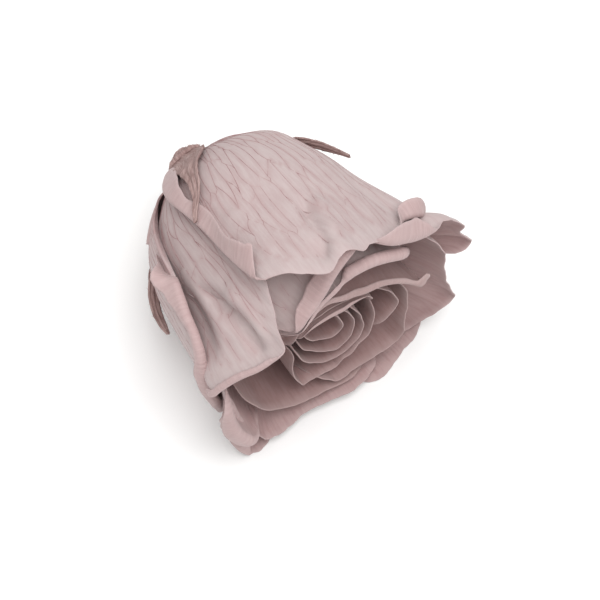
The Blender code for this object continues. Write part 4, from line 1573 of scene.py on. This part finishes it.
SEPALS: tuple[Sepal, ...] = (
    Sepal("sepal_near", (
        (108, -1.6, 3.0, 6), (108, 0.5, 2.2, 7), (108, 4, 1.5, 7.6), (108.5, 9, 1.4, 7.4),
        (109.5, 11.5, 1.5, 6), (111, 14, 1.7, 4), (112, 17, 2.0, 2.9), (113.5, 20, 2.3, 2.2),
        (116, 22.6, 2.5, 1.6), (120, 25, 2.7, 1.1), (122.5, 27, 2.9, 0.8))),
    Sepal("sepal_left", (
        (218, -1.6, 3.9, 6), (218, 0.5, 3.2, 7.5), (216, 4, 2.4, 8), (210, 9, 2.0, 6.5),
        (203, 12.5, 2.0, 4), (199.5, 16, 2.1, 2.8), (197, 20.5, 2.2, 2.4), (195.5, 24.5, 2.1, 1.8),
        (193, 27, 2.0, 0.8)), tilt=-35),
    Sepal("sepal_far", (
        (352, -1.6, 3.9, 6), (354, 0.5, 3.2, 7.5), (360, 4, 2.4, 8), (371, 8, 1.9, 6),
        (382, 12, 1.9, 4), (385, 15.5, 1.9, 2.8), (387, 18.5, 2.0, 2.2), (389.5, 21.5, 2.3, 1.6),
        (392.5, 25, 2.9, 0.8)), tilt=20),
    Sepal("sepal_low_right", (
        (306, -1.6, 3.9, 6), (306, 0.5, 3.4, 7.5), (306, 4, 2.6, 8), (306, 9, 2.1, 6), (307, 14, 2.0, 3),
        (308, 18, 2.0, 0.8))),
    Sepal("sepal_low_left", (
        (250, -1.6, 3.9, 6), (250, 0.5, 3.4, 7.5), (250, 4, 2.6, 8), (248, 9, 2.1, 6), (246, 13, 2.0, 3),
        (243, 17, 2.0, 0.8))),
)


@dataclass(frozen=True)
class Calyx:
    """The hip, the sepals and their down."""

    hip: RoundBody = HIP
    sepals: tuple[Sepal, ...] = SEPALS
    down: Down = Down()
    finish: CalyxFinish = CalyxFinish()

    def build(self) -> list[bpy.types.Object]:
        """Makes the hip, every sepal and the down on them.

        Returns:
            The objects, the hip first.
        """
        skin = self.finish.build()
        blades = [self.hip.build(skin)] + [sepal.build(skin) for sepal in self.sepals]
        pieces = blades + [self.down.build(blade, skin) for blade in blades]
        for piece in pieces:
            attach(piece, BODY)
            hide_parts("calyx")
        return pieces


@dataclass(frozen=True)
class Studio:
    """The plain pale floor, the soft light and the camera at the photograph's angle.

    The camera's distances from the flower are in millimetres. The floor's and the light's sizes and the
    camera's clipping are in metres.
    """

    azimuth: float = -33.6
    elevation: float = 60.0
    lens: float = 100.0
    sensor: float = 36.0
    clip: Span = (0.01, 20.0)
    distance: float = 333.0
    aside: float = 20.78
    above: float = -25.57
    floor_size: float = 3.0
    floor_colour: Colour = (0.93, 0.93, 0.925)
    floor_haze: Noise = Noise(6.0, 2.0, 0.55)
    floor_tint: float = 0.99
    floor_roughness: float = 0.9
    floor_gloss: float = 0.1
    sky: float = 0.55
    sky_colour: Colour = (1.0, 1.0, 0.995)
    key_power: float = 11.5
    key_size: float = 1.0
    key_from: Triple = (0.0, -0.24, 1.0)

    def camera(self) -> None:
        """Stands the camera where the photograph was taken from."""
        turn, rise = math.radians(self.azimuth), math.radians(self.elevation)
        back = Vector((math.sin(turn) * math.cos(rise), -math.cos(turn) * math.cos(rise), math.sin(rise)))
        right = Vector((math.cos(turn), math.sin(turn), 0.0))
        up = back.cross(right)
        place = (Vector(BUD.origin) + right * self.aside + up * self.above + back * self.distance) * MM
        lens = bpy.data.cameras.new("camera")
        lens.lens = self.lens
        lens.sensor_width = self.sensor
        lens.clip_start, lens.clip_end = self.clip
        camera = new_object("camera", lens)
        camera.matrix_world = Matrix.Translation(place) @ Matrix((right, up, back)).transposed().to_4x4()
        bpy.context.scene.camera = camera

    def floor(self) -> None:
        """Lays the floor."""
        half = self.floor_size / 2
        corners = [(-half, -half, 0), (half, -half, 0), (half, half, 0), (-half, half, 0)]
        mesh = bpy.data.meshes.new("floor")
        mesh.from_pydata(corners, [], [(0, 1, 2, 3)])
        make = Skin("floor")
        tint = tuple(level * self.floor_tint for level in self.floor_colour)
        colour = make.mix(make.noise(self.floor_haze), self.floor_colour, tint)
        mesh.materials.append(make.finish({
            "Base Color": colour, "Roughness": self.floor_roughness,
            "Specular IOR Level": self.floor_gloss}))
        floor = new_object("floor", mesh)

    def light(self) -> None:
        """Hangs one large soft light over the flower and fills the rest from a pale sky."""
        world = bpy.data.worlds.new("pale sky")
        world.use_nodes = True
        sky = world.node_tree.nodes["Background"].inputs
        sky["Color"].default_value = (*self.sky_colour, 1.0)
        sky["Strength"].default_value = self.sky
        bpy.context.scene.world = world
        lamp = bpy.data.lights.new("key", "AREA")
        lamp.energy = self.key_power
        lamp.size = self.key_size
        key = new_object("key", lamp)
        key.location = self.key_from
        key.rotation_euler = (-Vector(self.key_from)).to_track_quat("-Z", "Y").to_euler()
        bpy.context.scene.view_settings.view_transform = "Standard"

    def build(self) -> None:
        """Makes the camera, the floor and the light."""
        self.camera()
        self.floor()
        self.light()


def main() -> None:
    """Builds the flower and its studio."""
    logging.basicConfig(level=logging.INFO, format="%(message)s")
    total = 0
    for piece in Bloom().build() + Calyx().build():
        piece.data.calc_loop_triangles()
        count = len(piece.data.loop_triangles)
        total += count
        LOG.info("%s: %d triangles", piece.name, count)
    LOG.info("in all: %d triangles", total)
    Studio().build()


if __name__ == "__main__":
    main()
